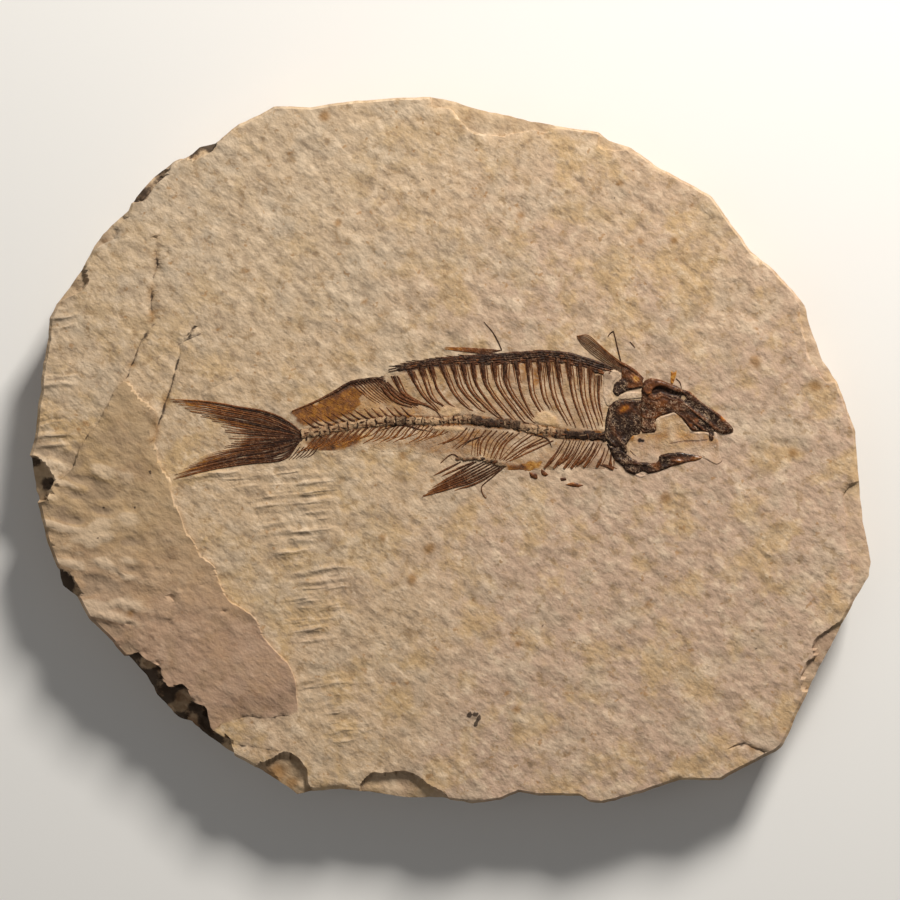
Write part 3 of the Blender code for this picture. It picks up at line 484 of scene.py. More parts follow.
class Port:
    """One output of a node. Sums and products of these add Math nodes."""

    def __init__(self, tree, output=None):
        self.tree = tree
        self.output = output

    def make(self, kind, inputs=None, out=0, stops=None, **settings):
        """Any other node, from its settings and the values or links of its sockets."""
        node = self.tree.nodes.new(kind)
        for name, value in settings.items():
            setattr(node, name, value)
        if stops:
            ramp = node.color_ramp
            while len(ramp.elements) < len(stops):
                ramp.elements.new(1.0)
            for element, (place, colour) in zip(ramp.elements, stops):
                element.position = place
                element.color = (*colour, 1.0)
        for key, value in (inputs or {}).items():
            if isinstance(value, Port):
                self.tree.links.new(value.output, node.inputs[key])
            else:
                node.inputs[key].default_value = value
        return Port(self.tree, node.outputs[out])

    def maths(self, operation, first, second):
        return self.make("ShaderNodeMath", {0: first, 1: second}, operation=operation)

    def __add__(self, other):
        return self.maths("ADD", self, other)

    def __radd__(self, other):
        return self.maths("ADD", other, self)

    def __sub__(self, other):
        return self.maths("SUBTRACT", self, other)

    def __rsub__(self, other):
        return self.maths("SUBTRACT", other, self)

    def __mul__(self, other):
        return self.maths("MULTIPLY", self, other)

    def __rmul__(self, other):
        return self.maths("MULTIPLY", other, self)

    def over(self, low, high):
        """0 where this is low and 1 where it is high."""
        return self.make("ShaderNodeMapRange", {0: self, 1: low, 2: high},
                         interpolation_type="SMOOTHSTEP")

    def mix(self, under, over):
        """Colour between two, by this as the share of the second."""
        under = under if isinstance(under, Port) else (*under, 1.0)
        over = over if isinstance(over, Port) else (*over, 1.0)
        return self.make("ShaderNodeMix", {0: self, 6: under, 7: over}, out=2, data_type="RGBA")

    def part(self, index):
        """X, Y or Z of a vector, or one channel of a colour."""
        return self.make("ShaderNodeSeparateXYZ", {0: self}, out=index)

    def feed(self, shader, name):
        """Links this to a socket of the shader."""
        self.tree.links.new(self.output, shader.inputs[name])

    def attribute(self, name):
        return self.make("ShaderNodeAttribute", out="Fac", attribute_name=name)

    def noise(self, coords, scale, detail=2.0, roughness=0.5):
        sockets = {"Vector": coords, "Scale": scale, "Detail": detail, "Roughness": roughness}
        return self.make("ShaderNodeTexNoise", sockets, out="Fac")


def new_material(name):
    """Material with a Principled shader, and the Port that starts its nodes."""
    material = bpy.data.materials.new(name)
    material.use_nodes = True
    return material, material.node_tree.nodes["Principled BSDF"], Port(material.node_tree)


STONE_TAN = (0.51, 0.365, 0.228)
STONE_GREY = (0.48, 0.375, 0.265)
STONE_PINK = (0.47, 0.325, 0.230)
STONE_HONEY = (0.49, 0.325, 0.155)
STONE_PALE_AND_HIGHLIGHT = (0.70, 0.545, 0.385)
STONE_SHADE = (0.255, 0.180, 0.118)
STONE_UMBER = (0.300, 0.190, 0.095)
STONE_RUST = (0.34, 0.185, 0.075)
SHEET_OCHRE = (0.375, 0.250, 0.132)
SHEET_ROSE = (0.345, 0.210, 0.142)
SHEET_BROWN = (0.215, 0.125, 0.065)
IRON_STAIN = (0.27, 0.135, 0.040)
BROKEN_PALE = (0.50, 0.36, 0.22)
BROKEN_BROWN = (0.24, 0.135, 0.065)
CRACK_DARK_AND_SHADE = (0.045, 0.028, 0.018)


def layered(colour, layers):
    """Colour with thin layers over it, each where its noise passes from low to high."""
    for noise, low, high, share, paint in layers:
        colour = (noise.over(low, high) * share).mix(colour, paint)
    return colour


def stone_look(m):
    """Colour, fine relief and dryness of the bed, by place."""
    place = m.make("ShaderNodeTexCoord", out="Object")
    drawn = m.make("ShaderNodeMapping", {"Vector": place, "Rotation": (0.0, 0.0, math.radians(-38)),
                                         "Scale": (1.45, 1.0, 1.0)}, vector_type="TEXTURE")
    right = place.part(0)
    up = place.part(1)
    broad = m.noise(place, 28.0, 3.0)
    clouds = m.make("ShaderNodeTexNoise", {"Vector": place, "Scale": 105.0, "Detail": 4.0,
                                           "Roughness": 0.62}, out="Color")
    honey = clouds.part(0)
    ashen = clouds.part(1)
    patches = m.noise(drawn, 250.0, 4.0, 0.6)
    dabs = m.noise(drawn, 760.0, 3.0, 0.6)
    mottles = m.noise(place, 430.0, 4.0, 0.62)
    grains = m.noise(place, 2600.0, 3.0, 0.65)
    colour = (broad + 4.0 * right - 2.0 * up).over(0.30, 0.80).mix(STONE_TAN, STONE_PINK)
    colour = (honey.over(0.47, 0.62) * 0.72).mix(colour, STONE_HONEY)
    greyer = (0.01 - right).over(-0.02, 0.06) * up.over(0.0, 0.04)
    colour = (greyer * 0.5 + ashen.over(0.48, 0.66) * 0.55).mix(colour, STONE_GREY)
    colour = layered(colour, (
        (patches, 0.53, 0.70, 0.55, STONE_PALE_AND_HIGHLIGHT), (patches, 0.48, 0.32, 0.50, STONE_SHADE),
        (mottles, 0.54, 0.68, 0.68, STONE_UMBER), (mottles, 0.46, 0.30, 0.45, STONE_PALE_AND_HIGHLIGHT),
        (dabs, 0.54, 0.68, 0.55, STONE_SHADE), (dabs, 0.45, 0.28, 0.42, STONE_PALE_AND_HIGHLIGHT),
        (m.noise(place, 330.0, 4.0, 0.7), 0.62, 0.72, 0.75, STONE_RUST),
        (m.noise(place, 620.0, 2.0, 0.5), 0.68, 0.75, 0.70, STONE_RUST),
        (grains, 0.54, 0.74, 0.30, STONE_SHADE), (grains, 0.46, 0.26, 0.20, STONE_PALE_AND_HIGHLIGHT)))
    relief = m.noise(drawn, 430.0, 3.0, 0.45) * 1.5 - dabs * 0.35 - mottles * 0.6
    return colour, relief + patches * 1.2 + grains * 0.10, 0.75 + 0.2 * grains


limestone, shader, m = new_material("limestone")
colour, relief_height, dryness = stone_look(m)
place = m.make("ShaderNodeTexCoord", out="Object")
sheet_colour = (place.part(1) * -1.0).over(0.010, 0.040).mix(SHEET_OCHRE, SHEET_ROSE)
sheet_colour = (m.noise(place, 170.0, 4.0, 0.6).over(0.48, 0.66) * 0.60).mix(sheet_colour, SHEET_BROWN)
colour = (m.attribute("sheet") * 0.70).mix(colour, sheet_colour)
# Painted highlight on the crests of the rolls along the left rim and painted shade in their hollows, set by
# the rolls' own height
rolls = m.attribute("rolls")
colour = layered(colour, ((rolls, 0.10, 0.50, 0.45, STONE_PALE_AND_HIGHLIGHT), (rolls, -0.12, -0.50, 0.60, STONE_SHADE)))
tilted = m.make("ShaderNodeMapping", {"Vector": place, "Rotation": (0.0, 0.0, math.radians(-7))})
wave = m.make("ShaderNodeTexWave", {"Vector": tilted, "Scale": 165.0, "Distortion": 4.5, "Detail": 3.0,
                                    "Detail Scale": 0.6, "Detail Roughness": 0.55},
              out="Fac", wave_type="BANDS", bands_direction="Y")
folds = m.attribute("folds")
long_patches = m.make("ShaderNodeMapping", {"Vector": tilted, "Scale": (4.0, 1.0, 1.0)},
                      vector_type="TEXTURE")
broken_wave = folds * m.noise(long_patches, 420.0, 2.0).over(0.42, 0.60)
# Painted highlight along each fold's crest and painted shadow in its trough; the same wave also raises the
# bump
colour = (broken_wave * wave.over(0.84, 1.00) * 0.45).mix(colour, STONE_PALE_AND_HIGHLIGHT)
colour = (broken_wave * wave.over(0.12, 0.00) * 0.50).mix(colour, STONE_SHADE)
relief_height = relief_height + broken_wave * wave * 1.0
earth = m.noise(place, 160.0, 4.0, 0.65)
broken_colour = earth.over(0.40, 0.62).mix(BROKEN_PALE, BROKEN_BROWN)
colour = (m.attribute("broken") * 0.7).mix(colour, broken_colour)
colour = (m.attribute("ochre") * 0.75).mix(colour, IRON_STAIN)
# Dark cracks and mineral specks, and the painted shade in the left rim's flakes
darkness = (m.attribute("dark") + 0.7 * (m.noise(place, 900.0, 4.0, 0.65) - 0.5)).over(0.36, 0.66)
colour = (darkness * 0.92).mix(colour, CRACK_DARK_AND_SHADE)
colour.feed(shader, "Base Color")
dryness.feed(shader, "Roughness")
shader.inputs["Specular IOR Level"].default_value = 0.3
bump = m.make("ShaderNodeBump", {"Height": relief_height, "Strength": 0.80, "Distance": 0.0004})
bump.feed(shader, "Normal")
slab_mesh.materials.append(limestone)

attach(slab, "root")
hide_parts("slab")

# Skin film: the brown and ochre stain that the fish's flesh left on the bed, with a few lumps of
# the bed still stuck over it. It is a skin of the stone itself, so it takes the stone's colours
# where the stain fades out. The film runs from the tail to the head.
SINK = 0.25               # how far a piece reaches down into the stone under it
FILM = 0.05               # thickness of the film
ABOVE_ALL = 30.0          # height from which the stone's surface is sought
STRAIGHT_DOWN = Vector((0.0, 0.0, -1.0))

COLUMN_LINE = (
    (-28.2, 3.2), (-24.7, 3.8), (-20.8, 4.6), (-16.8, 5.2), (-12.7, 5.6), (-8.4, 5.7),
    (-2.6, 5.6), (0.0, 5.9), (4.3, 5.9), (7.0, 5.4), (12.3, 5.0), (15.2, 4.2), (19.1, 3.6),
    (22.9, 3.0), (28.1, 2.8), (31.0, 2.6),
)
SCUTE_LINE = (
    (-12.0, 15.7), (-7.7, 16.7), (-3.9, 17.3), (-0.6, 17.7), (3.1, 17.9), (7.2, 18.0),
    (10.1, 18.2), (14.1, 18.5), (18.4, 18.8), (22.3, 18.5), (25.2, 17.8), (28.1, 16.9),
    (31.5, 15.8),
)
BODY_OUTLINE = (
    (-31.5, 7.4), (-26.4, 9.5), (-22.3, 11.7), (-19.2, 13.3), (-14.3, 14.3), (-12.4, 15.2),
    *SCUTE_LINE[1:], (31.6, 8.0), (30.2, 3.0), (31.3, 0.6), (32.6, -1.2), (30.5, -3.9),
    (24.0, -3.7), (18.6, -4.4), (12.0, -4.2), (5.0, -2.6), (-2.0, -1.6), (-10.0, -0.4),
    (-18.0, -0.3), (-27.0, -0.2), (-31.6, -1.6), (-30.0, 2.6),
)
RIBS = (
    ((-11.0, 14.5), (-9.2, 11.2), (-6.3, 9.5)), ((-8.0, 15.6), (-5.7, 11.2), (-2.4, 7.7)),
    ((-5.9, 16.2), (-3.9, 10.6), (-1.4, 8.5)), ((-3.9, 16.4), (-2.4, 11.8), (-0.2, 9.1)),
    ((-1.8, 16.7), (0.4, 11.6), (3.1, 8.5)), ((0.4, 16.8), (1.9, 12.2), (5.4, 8.3)),
    ((2.3, 17.0), (3.9, 11.8), (8.4, 7.1)), ((4.3, 17.1), (5.4, 12.4), (9.9, 6.5)),
    ((6.2, 17.2), (7.2, 12.4), (12.1, 6.1)), ((8.4, 17.2), (9.4, 12.4), (13.9, 6.1)),
    ((10.7, 17.2), (11.1, 12.4), (15.6, 6.1)), ((12.7, 17.5), (13.9, 11.2), (16.2, 6.7)),
    ((15.0, 17.7), (15.8, 11.2), (18.0, 7.1)), ((17.2, 17.9), (18.0, 11.2), (19.5, 7.9)),
    ((18.9, 18.0), (20.1, 10.6), (23.0, 4.8)), ((20.7, 18.1), (21.9, 11.2), (24.6, 4.4)),
    ((22.9, 17.8), (24.0, 10.6), (26.2, 4.4)), ((25.2, 17.3), (25.8, 10.6), (27.9, 4.0)),
    ((27.4, 16.5), (27.5, 10.6), (29.1, 4.8)), ((29.1, 14.6), (29.1, 9.7), (29.9, 5.9)),
)
ANAL_EDGE = (
    (-30.9, 7.6), (-26.4, 9.4), (-22.3, 11.5), (-19.6, 13.1), (-16.8, 13.7), (-14.1, 14.0), (-12.6, 13.4),
)
# Stains: strength, tone and outline
STAINS = (
    (1.20, 0.56, ((-31.8, 8.0), (-29.2, 8.7), (-26.4, 9.3), (-22.3, 11.6), (-19.6, 12.8), (-17.6, 12.2),
                  (-17.4, 9.7), (-18.4, 7.7), (-21.5, 6.1), (-24.7, 5.4), (-28.4, 4.8), (-29.8, 6.2))),
    (0.95, 0.42, ((-28.6, 1.6), (-26.2, 2.9), (-22.5, 3.2), (-19.2, 3.0), (-16.4, 2.6), (-17.6, 0.9),
                  (-20.6, 0.3), (-23.5, 0.1), (-27.0, 0.2))),
    (0.90, 0.68, ((-22.6, 1.6), (-20.8, 2.0), (-19.6, 1.3), (-20.8, 0.4), (-22.4, 0.5))),
    (1.10, 0.46, ((10.5, -2.9), (12.7, -2.4), (15.0, -2.7), (15.8, -3.9), (13.7, -4.5), (11.7, -4.0))),
    (1.25, 0.84, ((14.2, -2.8), (16.0, -1.9), (17.8, -2.5), (17.6, -3.5), (15.4, -4.1))),
    (0.70, 0.45, ((0.9, 1.4), (2.3, 3.2), (4.3, 3.8), (6.2, 3.6), (7.0, 2.2), (5.4, 1.1), (3.1, 0.3))),
    (0.50, 0.66, ((-18.4, 11.9), (-13.2, 13.4), (-9.6, 10.6), (-5.6, 8.8), (-4.0, 6.9), (-12.0, 6.6),
                  (-20.0, 5.6), (-18.0, 8.0))),
    (0.30, 0.56, ((18.5, -3.2), (21.0, 2.2), (25.5, 2.6), (30.6, 1.4), (31.4, -3.2), (26.0, -3.5))),
    (0.48, 0.58, ((-10.0, 1.4), (-4.0, 2.6), (2.0, 3.8), (9.0, 3.9), (14.0, 3.0), (11.0, 0.6), (3.0, -1.2),
                  (-4.0, -0.4))),
    (0.40, 0.98, ((-17.9, 3.2), (-15.2, 3.3), (-14.6, 2.2), (-17.4, 1.7))),
    (0.60, 0.62, ((13.4, 16.5), (15.2, 16.6), (15.4, 12.8), (13.6, 13.0))),
    (0.75, 0.66, ((15.9, 16.2), (17.8, 16.2), (18.3, 12.6), (16.4, 12.4))),
    (0.55, 0.58, ((10.8, 15.8), (12.4, 15.9), (12.8, 13.0), (11.3, 13.0))),
    (0.50, 0.60, ((21.4, 16.6), (22.9, 16.4), (23.2, 14.0), (21.8, 14.2))),
)
STUCK_LUMPS = (
    ((-2.4, 7.3), (-1.2, 8.6), (0.4, 8.8), (1.9, 8.3), (2.5, 7.3), (1.5, 6.5), (-0.4, 6.3), (-2.0, 6.4)),
    ((15.6, 5.2), (16.4, 6.9), (18.0, 7.9), (19.9, 7.3), (21.5, 5.7), (21.9, 4.6), (19.1, 4.5)),
    ((-3.6, 4.6), (-2.0, 4.9), (0.4, 4.8), (2.9, 4.4), (2.3, 3.6), (-0.8, 3.4), (-3.3, 3.5)),
)
CHALK = (0.60, 0.43, 0.31)
FILM_TONES = (
    (0.0, (0.022, 0.012, 0.008)), (0.25, (0.070, 0.030, 0.014)), (0.5, (0.165, 0.060, 0.015)),
    (0.75, (0.330, 0.135, 0.018)), (1.0, (0.50, 0.290, 0.085)),
)

stone_tree = BVHTree.FromPolygons((vertices * MM).tolist(), faces[:GRID_CELLS * GRID_CELLS])


def stone_height(x, y):
    """Height of the stone at each place."""
    found = []
    for px, py in zip(np.ravel(x).tolist(), np.ravel(y).tolist()):
        hit = stone_tree.ray_cast(Vector((px * MM, py * MM, ABOVE_ALL * MM)), STRAIGHT_DOWN)[0]
        found.append(hit.z / MM if hit else BED)
    return np.array(found).reshape(np.shape(x))


def blend(under, over, share):
    """From one value to another, by a share."""
    return under * (1.0 - share) + over * share


def line_y(line, x):
    """Y of a line that runs from tail to head, where it passes each X."""
    return np.interp(x, [spot[0] for spot in line], [spot[1] for spot in line])


def relief(name, outline, cell, look, material, slot, rough=0.15, seed=500):
    """Closed plate lying on the stone, over an outline. From x, y and the depth inside the outline,
    look gives its height over the stone and the fields that its colours use."""
    edge = rough_line(outline, rough, seed, closed=True)
    low = np.min(edge, axis=0) - 2 * cell
    high = np.max(edge, axis=0) + 2 * cell
    columns = np.arange(low[0], high[0], cell)
    x, y = np.meshgrid(columns, np.arange(low[1], high[1], cell), indexing="ij")
    depth = depth_in(x, y, edge)
    used = (depth[:-1, :-1] + depth[1:, :-1] + depth[:-1, 1:] + depth[1:, 1:]) > 0.0
    for _ in range(4):
        here, far, right, up = used[:-1, :-1], used[1:, 1:], used[1:, :-1], used[:-1, 1:]
        pinched = (here & far & ~right & ~up) | (right & up & ~here & ~far)
        for part in (here, far, right, up):
            part |= pinched
    around = np.zeros(x.shape, dtype=int)
    for part in (around[:-1, :-1], around[1:, :-1], around[:-1, 1:], around[1:, 1:]):
        part += used
    slope_x, slope_y = np.gradient(depth, cell)
    steep = np.maximum(np.hypot(slope_x, slope_y), 0.3)
    shift = np.where((around > 0) & (around < 4), np.clip(depth / steep, -0.9 * cell, 0.9 * cell), 0.0)
    x = x - shift * slope_x / steep
    y = y - shift * slope_y / steep
    kept = around > 0
    index = np.full(x.shape, -1)
    index[kept] = np.arange(kept.sum())
    x, y, depth = x[kept], y[kept], np.maximum(depth - np.abs(shift), 0.0)[kept]
    rise, fields = look(x, y, depth)
    stone = stone_height(x, y)
    top = np.stack([x, y, stone + rise - 0.09 * (around[kept] < 4)], axis=1)
    bottom = np.stack([x, y, stone - SINK], axis=1)
    count = len(top)
    i, j = np.nonzero(used)
    corners = np.stack([index[i, j], index[i + 1, j], index[i + 1, j + 1], index[i, j + 1]], axis=1)
    quads = [corners, corners[:, ::-1] + count]
    ringed = np.pad(used, 1)
    for side, (di, dj) in enumerate(((0, -1), (1, 0), (0, 1), (-1, 0))):
        bare = ~ringed[i + 1 + di, j + 1 + dj]
        first = corners[bare, side]
        second = corners[bare, (side + 1) % 4]
        quads.append(np.stack([second, first, first + count, second + count], axis=1))
    mesh = bpy.data.meshes.new(name)
    spots = np.concatenate([top, bottom]) * MM
    mesh.from_pydata(spots.tolist(), [], np.concatenate(quads).tolist())
    mesh.update()
    mesh.shade_smooth()
    store(mesh, {field: np.tile(values, 2) for field, values in fields.items()})
    mesh.materials.append(material)
    piece = new_object(name, mesh)
    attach(piece, "root")
    return piece


skin_paint, shader, m = new_material("skin_paint")
stone_colour, stone_relief, stone_dryness = stone_look(m)
place = m.make("ShaderNodeTexCoord", out="Object")
blotch = m.noise(place, 800.0, 4.0, 0.7)
speck = m.noise(place, 2600.0, 3.0, 0.7)
stain_tone = m.attribute("tone") + 1.0 * (blotch - 0.5) + 0.6 * (speck - 0.5)
stain_colour = m.make("ShaderNodeValToRGB", {"Fac": stain_tone}, stops=FILM_TONES)
stain = m.attribute("stain") * (0.40 + 0.9 * m.noise(place, 1300.0, 3.0, 0.6) + 0.6 * speck)
colour = stain.mix(stone_colour, stain_colour)
colour = (m.attribute("pale") * (0.45 + 0.7 * speck)).mix(colour, CHALK)
colour.feed(shader, "Base Color")
(stone_dryness - 0.2 * stain).feed(shader, "Roughness")
shader.inputs["Specular IOR Level"].default_value = 0.25
skin_relief = stone_relief + 0.5 * speck
bump = m.make("ShaderNodeBump", {"Height": skin_relief, "Strength": 0.8, "Distance": 0.0003})
bump.feed(shader, "Normal")


def body_film(x, y, depth):
    """The flesh's stain: strongest under the scutes, along the backbone and in the fins."""
    below_scutes = line_y(SCUTE_LINE, x) - y
    below_column = line_y(COLUMN_LINE, x) - y
    patchy = 0.5 + 0.5 * ripple(x, y, 1.2, 601)
    trunk = smooth(-11.5, -8.0, x) * smooth(31.5, 28.0, x)
    tone = np.full(x.shape, 0.66)
    stain = 0.40 * smooth(0.0, 1.5, depth) * patchy
    ribs_top = np.zeros(x.shape)
    for rib in RIBS:
        near = to_line(x, y, rib[:2])[0]
        glow = smooth(1.15, 0.35, near) * smooth(4.6, 1.2, below_scutes)
        ribs_top = np.maximum(ribs_top, glow)
    ribs_top = ribs_top * trunk * (0.55 + 0.6 * patchy)
    stain = np.maximum(stain, ribs_top)
    tone = tone - 0.26 * smooth(0.3, 0.9, ribs_top)
    under_scutes = trunk * smooth(1.7, 0.9, below_scutes)
    stain = np.maximum(stain, under_scutes)
    tone = blend(tone, 0.12, under_scutes)
    for strength, shade, outline in STAINS:
        ragged_x = x + 0.6 * ripple(x, y, 1.1, 602)
        ragged_y = y + 0.6 * ripple(x, y, 1.3, 604)
        inside = smooth(-0.6, 0.6, depth_in(ragged_x, ragged_y, outline))
        stain = np.maximum(stain, inside * strength * (0.75 + 0.35 * patchy))
        tone = blend(tone, shade, inside)
    spine_bed = smooth(1.5, 0.8, np.abs(below_column)) * smooth(-29.0, -27.0, x)
    stain = np.maximum(stain, spine_bed * (0.5 + 0.6 * patchy))
    tone = blend(tone, 0.30 + 0.28 * patchy, spine_bed)
    red_end = smooth(-28.0, -30.0, x) * smooth(4.0, 5.5, y)
    tone = blend(tone, 0.45, red_end)
    fin_ridge = smooth(1.2, 0.6, line_y(ANAL_EDGE, x) - y) * smooth(-12.2, -13.4, x)
    fin_ridge = fin_ridge * smooth(-26.0, -22.0, x)
    stain = np.maximum(stain, 0.9 * fin_ridge)
    tone = blend(tone, 0.30 - 0.16 * smooth(-22.0, -19.0, x), fin_ridge)
    rise = FILM * (0.7 + 0.6 * patchy * smooth(0.0, 0.8, depth))
    pale = np.zeros(x.shape)
    for number, outline in enumerate(STUCK_LUMPS):
        inside = depth_in(x, y, rough_line(outline, 0.30, 610 + 4 * number, closed=True))
        lump = smooth(-0.1, 0.6, inside)
        rise = rise + lump * (0.20 + 0.10 * ripple(x, y, 1.0, 603))
        stain = blend(stain, 0.35, lump)
        tone = blend(tone, 0.98, lump)
        pale = np.maximum(pale, 0.20 * lump)
    return rise * smooth(0.0, 1.2, depth), {"stain": stain, "tone": tone, "pale": pale}


relief("body_film", BODY_OUTLINE, 0.19, body_film, skin_paint, "rib_bone", rough=0.3)

# Backbone: vertebrae, each a short spool lying on its side, with the ribs and spines that grow
# from them. Pressure flattened them in the bed, and the bone is now brown and brittle.
VERTEBRA_COUNT = 33
REAR_RIBS = (
    ((-12.3, 12.9), (-10.4, 10.9), (-7.9, 9.5), (-5.1, 8.9), (-2.8, 7.7), (-1.6, 6.2)),
    ((-12.9, 13.2), (-11.2, 10.9), (-8.9, 9.4), (-6.2, 8.7)),
    ((-14.0, 13.2), (-12.3, 10.9), (-10.2, 9.2), (-7.4, 8.3)),
    ((-10.9, 13.7), (-9.5, 11.3), (-7.2, 9.8), (-4.6, 8.9)),
)
HEAD_SPINES = (
    ((22.3, 2.0), (20.7, -0.7), (18.5, -3.6)), ((23.6, 1.9), (22.4, -0.6), (20.3, -3.6)),
    ((25.8, 1.7), (24.4, -0.9), (22.3, -3.6)), ((27.4, 1.6), (25.8, -0.9), (23.7, -3.6)),
    ((29.1, 1.2), (27.9, -1.0), (26.2, -3.4)), ((30.3, 0.4), (29.7, -1.5), (28.7, -3.4)),
    ((31.5, -0.4), (31.4, -2.0), (31.3, -3.6)), ((29.3, -2.9), (30.7, -3.2), (32.0, -3.8)),
    ((24.7, 1.8), (23.4, -0.8), (21.2, -2.9)), ((28.2, 1.4), (26.9, -1.0), (24.9, -3.0)),
)
MID_SPINES = (
    ((20.2, 1.8), (16.4, 0.0), (11.7, -2.2)), ((18.2, 2.3), (14.6, 0.4), (10.9, -2.1)),
    ((16.0, 2.9), (12.9, 0.6), (10.5, -2.0)), ((13.6, 3.4), (11.0, 1.2), (9.6, -1.8)),
    ((11.4, 3.6), (9.2, 1.6), (8.0, -1.4)), ((9.2, 3.8), (7.4, 1.7), (6.6, -1.2)),
    ((7.0, 3.9), (5.7, 1.9), (5.3, -1.2)), ((4.8, 4.2), (3.4, 2.0), (1.2, 0.2)),
    ((19.2, 2.0), (15.4, 0.4), (12.4, -1.6)), ((12.4, 3.4), (10.2, 1.2), (8.6, -1.6)),
    ((8.2, 3.8), (6.2, 1.6), (5.9, -1.0)), ((3.4, 4.4), (1.4, 2.4), (-1.4, 1.2)),
)
STRAY_LINES = (
    ((-13.7, 3.8), (-11.8, 4.4), (-9.8, 5.0), (-7.9, 4.6), (-5.9, 4.0), (-3.9, 3.6), (-2.8, 3.2)),
    ((15.8, 3.0), (18.2, 2.6), (19.3, 1.8), (19.9, 0.5)),
    ((2.3, 0.5), (3.9, 1.8), (6.8, 2.8)),
)
BONE_TONES = (
    (0.0, (0.022, 0.010, 0.006)), (0.3, (0.075, 0.026, 0.010)), (0.6, (0.175, 0.055, 0.013)),
    (0.8, (0.34, 0.120, 0.014)), (1.0, (0.52, 0.27, 0.060)),
)
BLEACHED_BONE = (0.44, 0.29, 0.165)
STONE_DUST = (0.36, 0.245, 0.155)


def bone_paint(name, dryness, gloss, cracked):
    """Brown bone: its tone runs from black to ochre, with stone dust in its fine cracks."""
    material, shader, m = new_material(name)
    place = m.make("ShaderNodeTexCoord", out="Object")
    patch = m.noise(place, 1100.0, 4.0, 0.65)
    fine = m.noise(place, 4200.0, 2.0, 0.6)
    drawn = m.make("ShaderNodeMapping", {"Vector": place, "Rotation": (0.0, 0.0, math.radians(-40)),
                                         "Scale": (2.6, 1.0, 1.0)}, vector_type="TEXTURE")
    threads = m.noise(drawn, 3000.0, 3.0, 0.65)
    wander = m.noise(place, 2100.0, 2.0, 0.5) - 0.5
    veins = (wander * wander).over(0.0009, 0.0001)
    joint = m.attribute("joint") * m.noise(place, 1500.0, 2.0).over(0.38, 0.54)
    tone = m.attribute("tone") + 0.50 * (patch - 0.5) + 0.90 * (threads - 0.5) - 0.7 * joint
    colour = m.make("ShaderNodeValToRGB", {"Fac": tone}, stops=BONE_TONES)
    bleach = m.attribute("bleach") * (0.25 + patch.over(0.36, 0.58) - joint)
    colour = bleach.mix(colour, BLEACHED_BONE)
    crazing = veins * 0.9 + threads.over(0.54, 0.66) * 0.55
    dust = crazing * patch.over(0.42, 0.60) * (cracked + m.attribute("dust"))
    colour = dust.mix(colour, STONE_DUST)
    colour.feed(shader, "Base Color")
    (dryness + 0.3 * (fine - 0.5) + 0.2 * dust).feed(shader, "Roughness")
    (m.attribute("gloss") + gloss).feed(shader, "Coat Weight")
    shader.inputs["Coat Roughness"].default_value = 0.22
    shader.inputs["Specular IOR Level"].default_value = 0.12
    height = fine * 0.4 + patch + 0.8 * threads
    bump = m.make("ShaderNodeBump", {"Height": height, "Strength": 0.8, "Distance": 0.00018})
    bump.feed(shader, "Normal")
    return material


def smooth_line(points, spacing=0.35):
    """Even places on a smooth curve through a few."""
    given = np.array(points, dtype=float)
    padded = np.vstack([2 * given[0] - given[1], given, 2 * given[-1] - given[-2]])
    made = []
    for a, b, c, d in zip(padded, padded[1:], padded[2:], padded[3:]):
        count = max(int(np.hypot(*(c - b)) / spacing), 2)
        for t in np.linspace(0.0, 1.0, count, endpoint=False):
            bend = (2 * a - 5 * b + 4 * c - d) * t * t + (3 * b - 3 * c + d - a) * t ** 3
            made.append(0.5 * (2 * b + (c - a) * t + bend))
    made.append(given[-1])
    return np.array(made)


def new_tree(name, inputs):
    """Geometry Nodes tree with named inputs, as a Port to build with and one for each input."""
    tree = bpy.data.node_groups.new(name, "GeometryNodeTree")
    tree.is_modifier = True
    tree.interface.new_socket("Geometry", in_out="INPUT", socket_type="NodeSocketGeometry")
    for label, kind in inputs:
        tree.interface.new_socket(label, in_out="INPUT", socket_type="NodeSocket" + kind)
    tree.interface.new_socket("Geometry", in_out="OUTPUT", socket_type="NodeSocketGeometry")
    start = tree.nodes.new("NodeGroupInput")
    given = {}
    for socket in start.outputs[:-1]:
        given[socket.name] = Port(tree, socket)
    return Port(tree), given


def close_tree(g, geometry, given):
    """The end of each tree: pressed towards the stone, shaken a little, and plain mesh."""
    whole = g.make("GeometryNodeRealizeInstances", {"Geometry": geometry})
    position = g.make("GeometryNodeInputPosition")
    seat = g.make("GeometryNodeInputNamedAttribute", {"Name": "seat"}, data_type="FLOAT")
    press = g.make("ShaderNodeCombineXYZ", {2: (position.part(2) - seat) * (given["Flatness"] - 1.0)})
    wobble = given["Wobble"]
    sockets = {"Vector": position, "W": given["Seed"], "Scale": given["Wobble Scale"]}
    shake = g.make("ShaderNodeTexNoise", sockets, out="Color", noise_dimensions="4D")
    shake = g.make("ShaderNodeVectorMath", {0: shake, 1: (0.5, 0.5, 0.5)}, operation="SUBTRACT")
    share = g.make("ShaderNodeCombineXYZ", {0: wobble, 1: wobble, 2: wobble * 0.4})
    shake = g.make("ShaderNodeVectorMath", {0: shake, 1: share}, operation="MULTIPLY")
    offset = g.make("ShaderNodeVectorMath", {0: press, 1: shake}, operation="ADD")
    whole = g.make("GeometryNodeSetPosition", {"Geometry": whole, "Offset": offset})
    painted = g.make("GeometryNodeSetMaterial", {"Geometry": whole, "Material": given["Material"]})
    end = g.tree.nodes.new("NodeGroupOutput")
    g.tree.links.new(painted.output, end.inputs["Geometry"])
    return g.tree


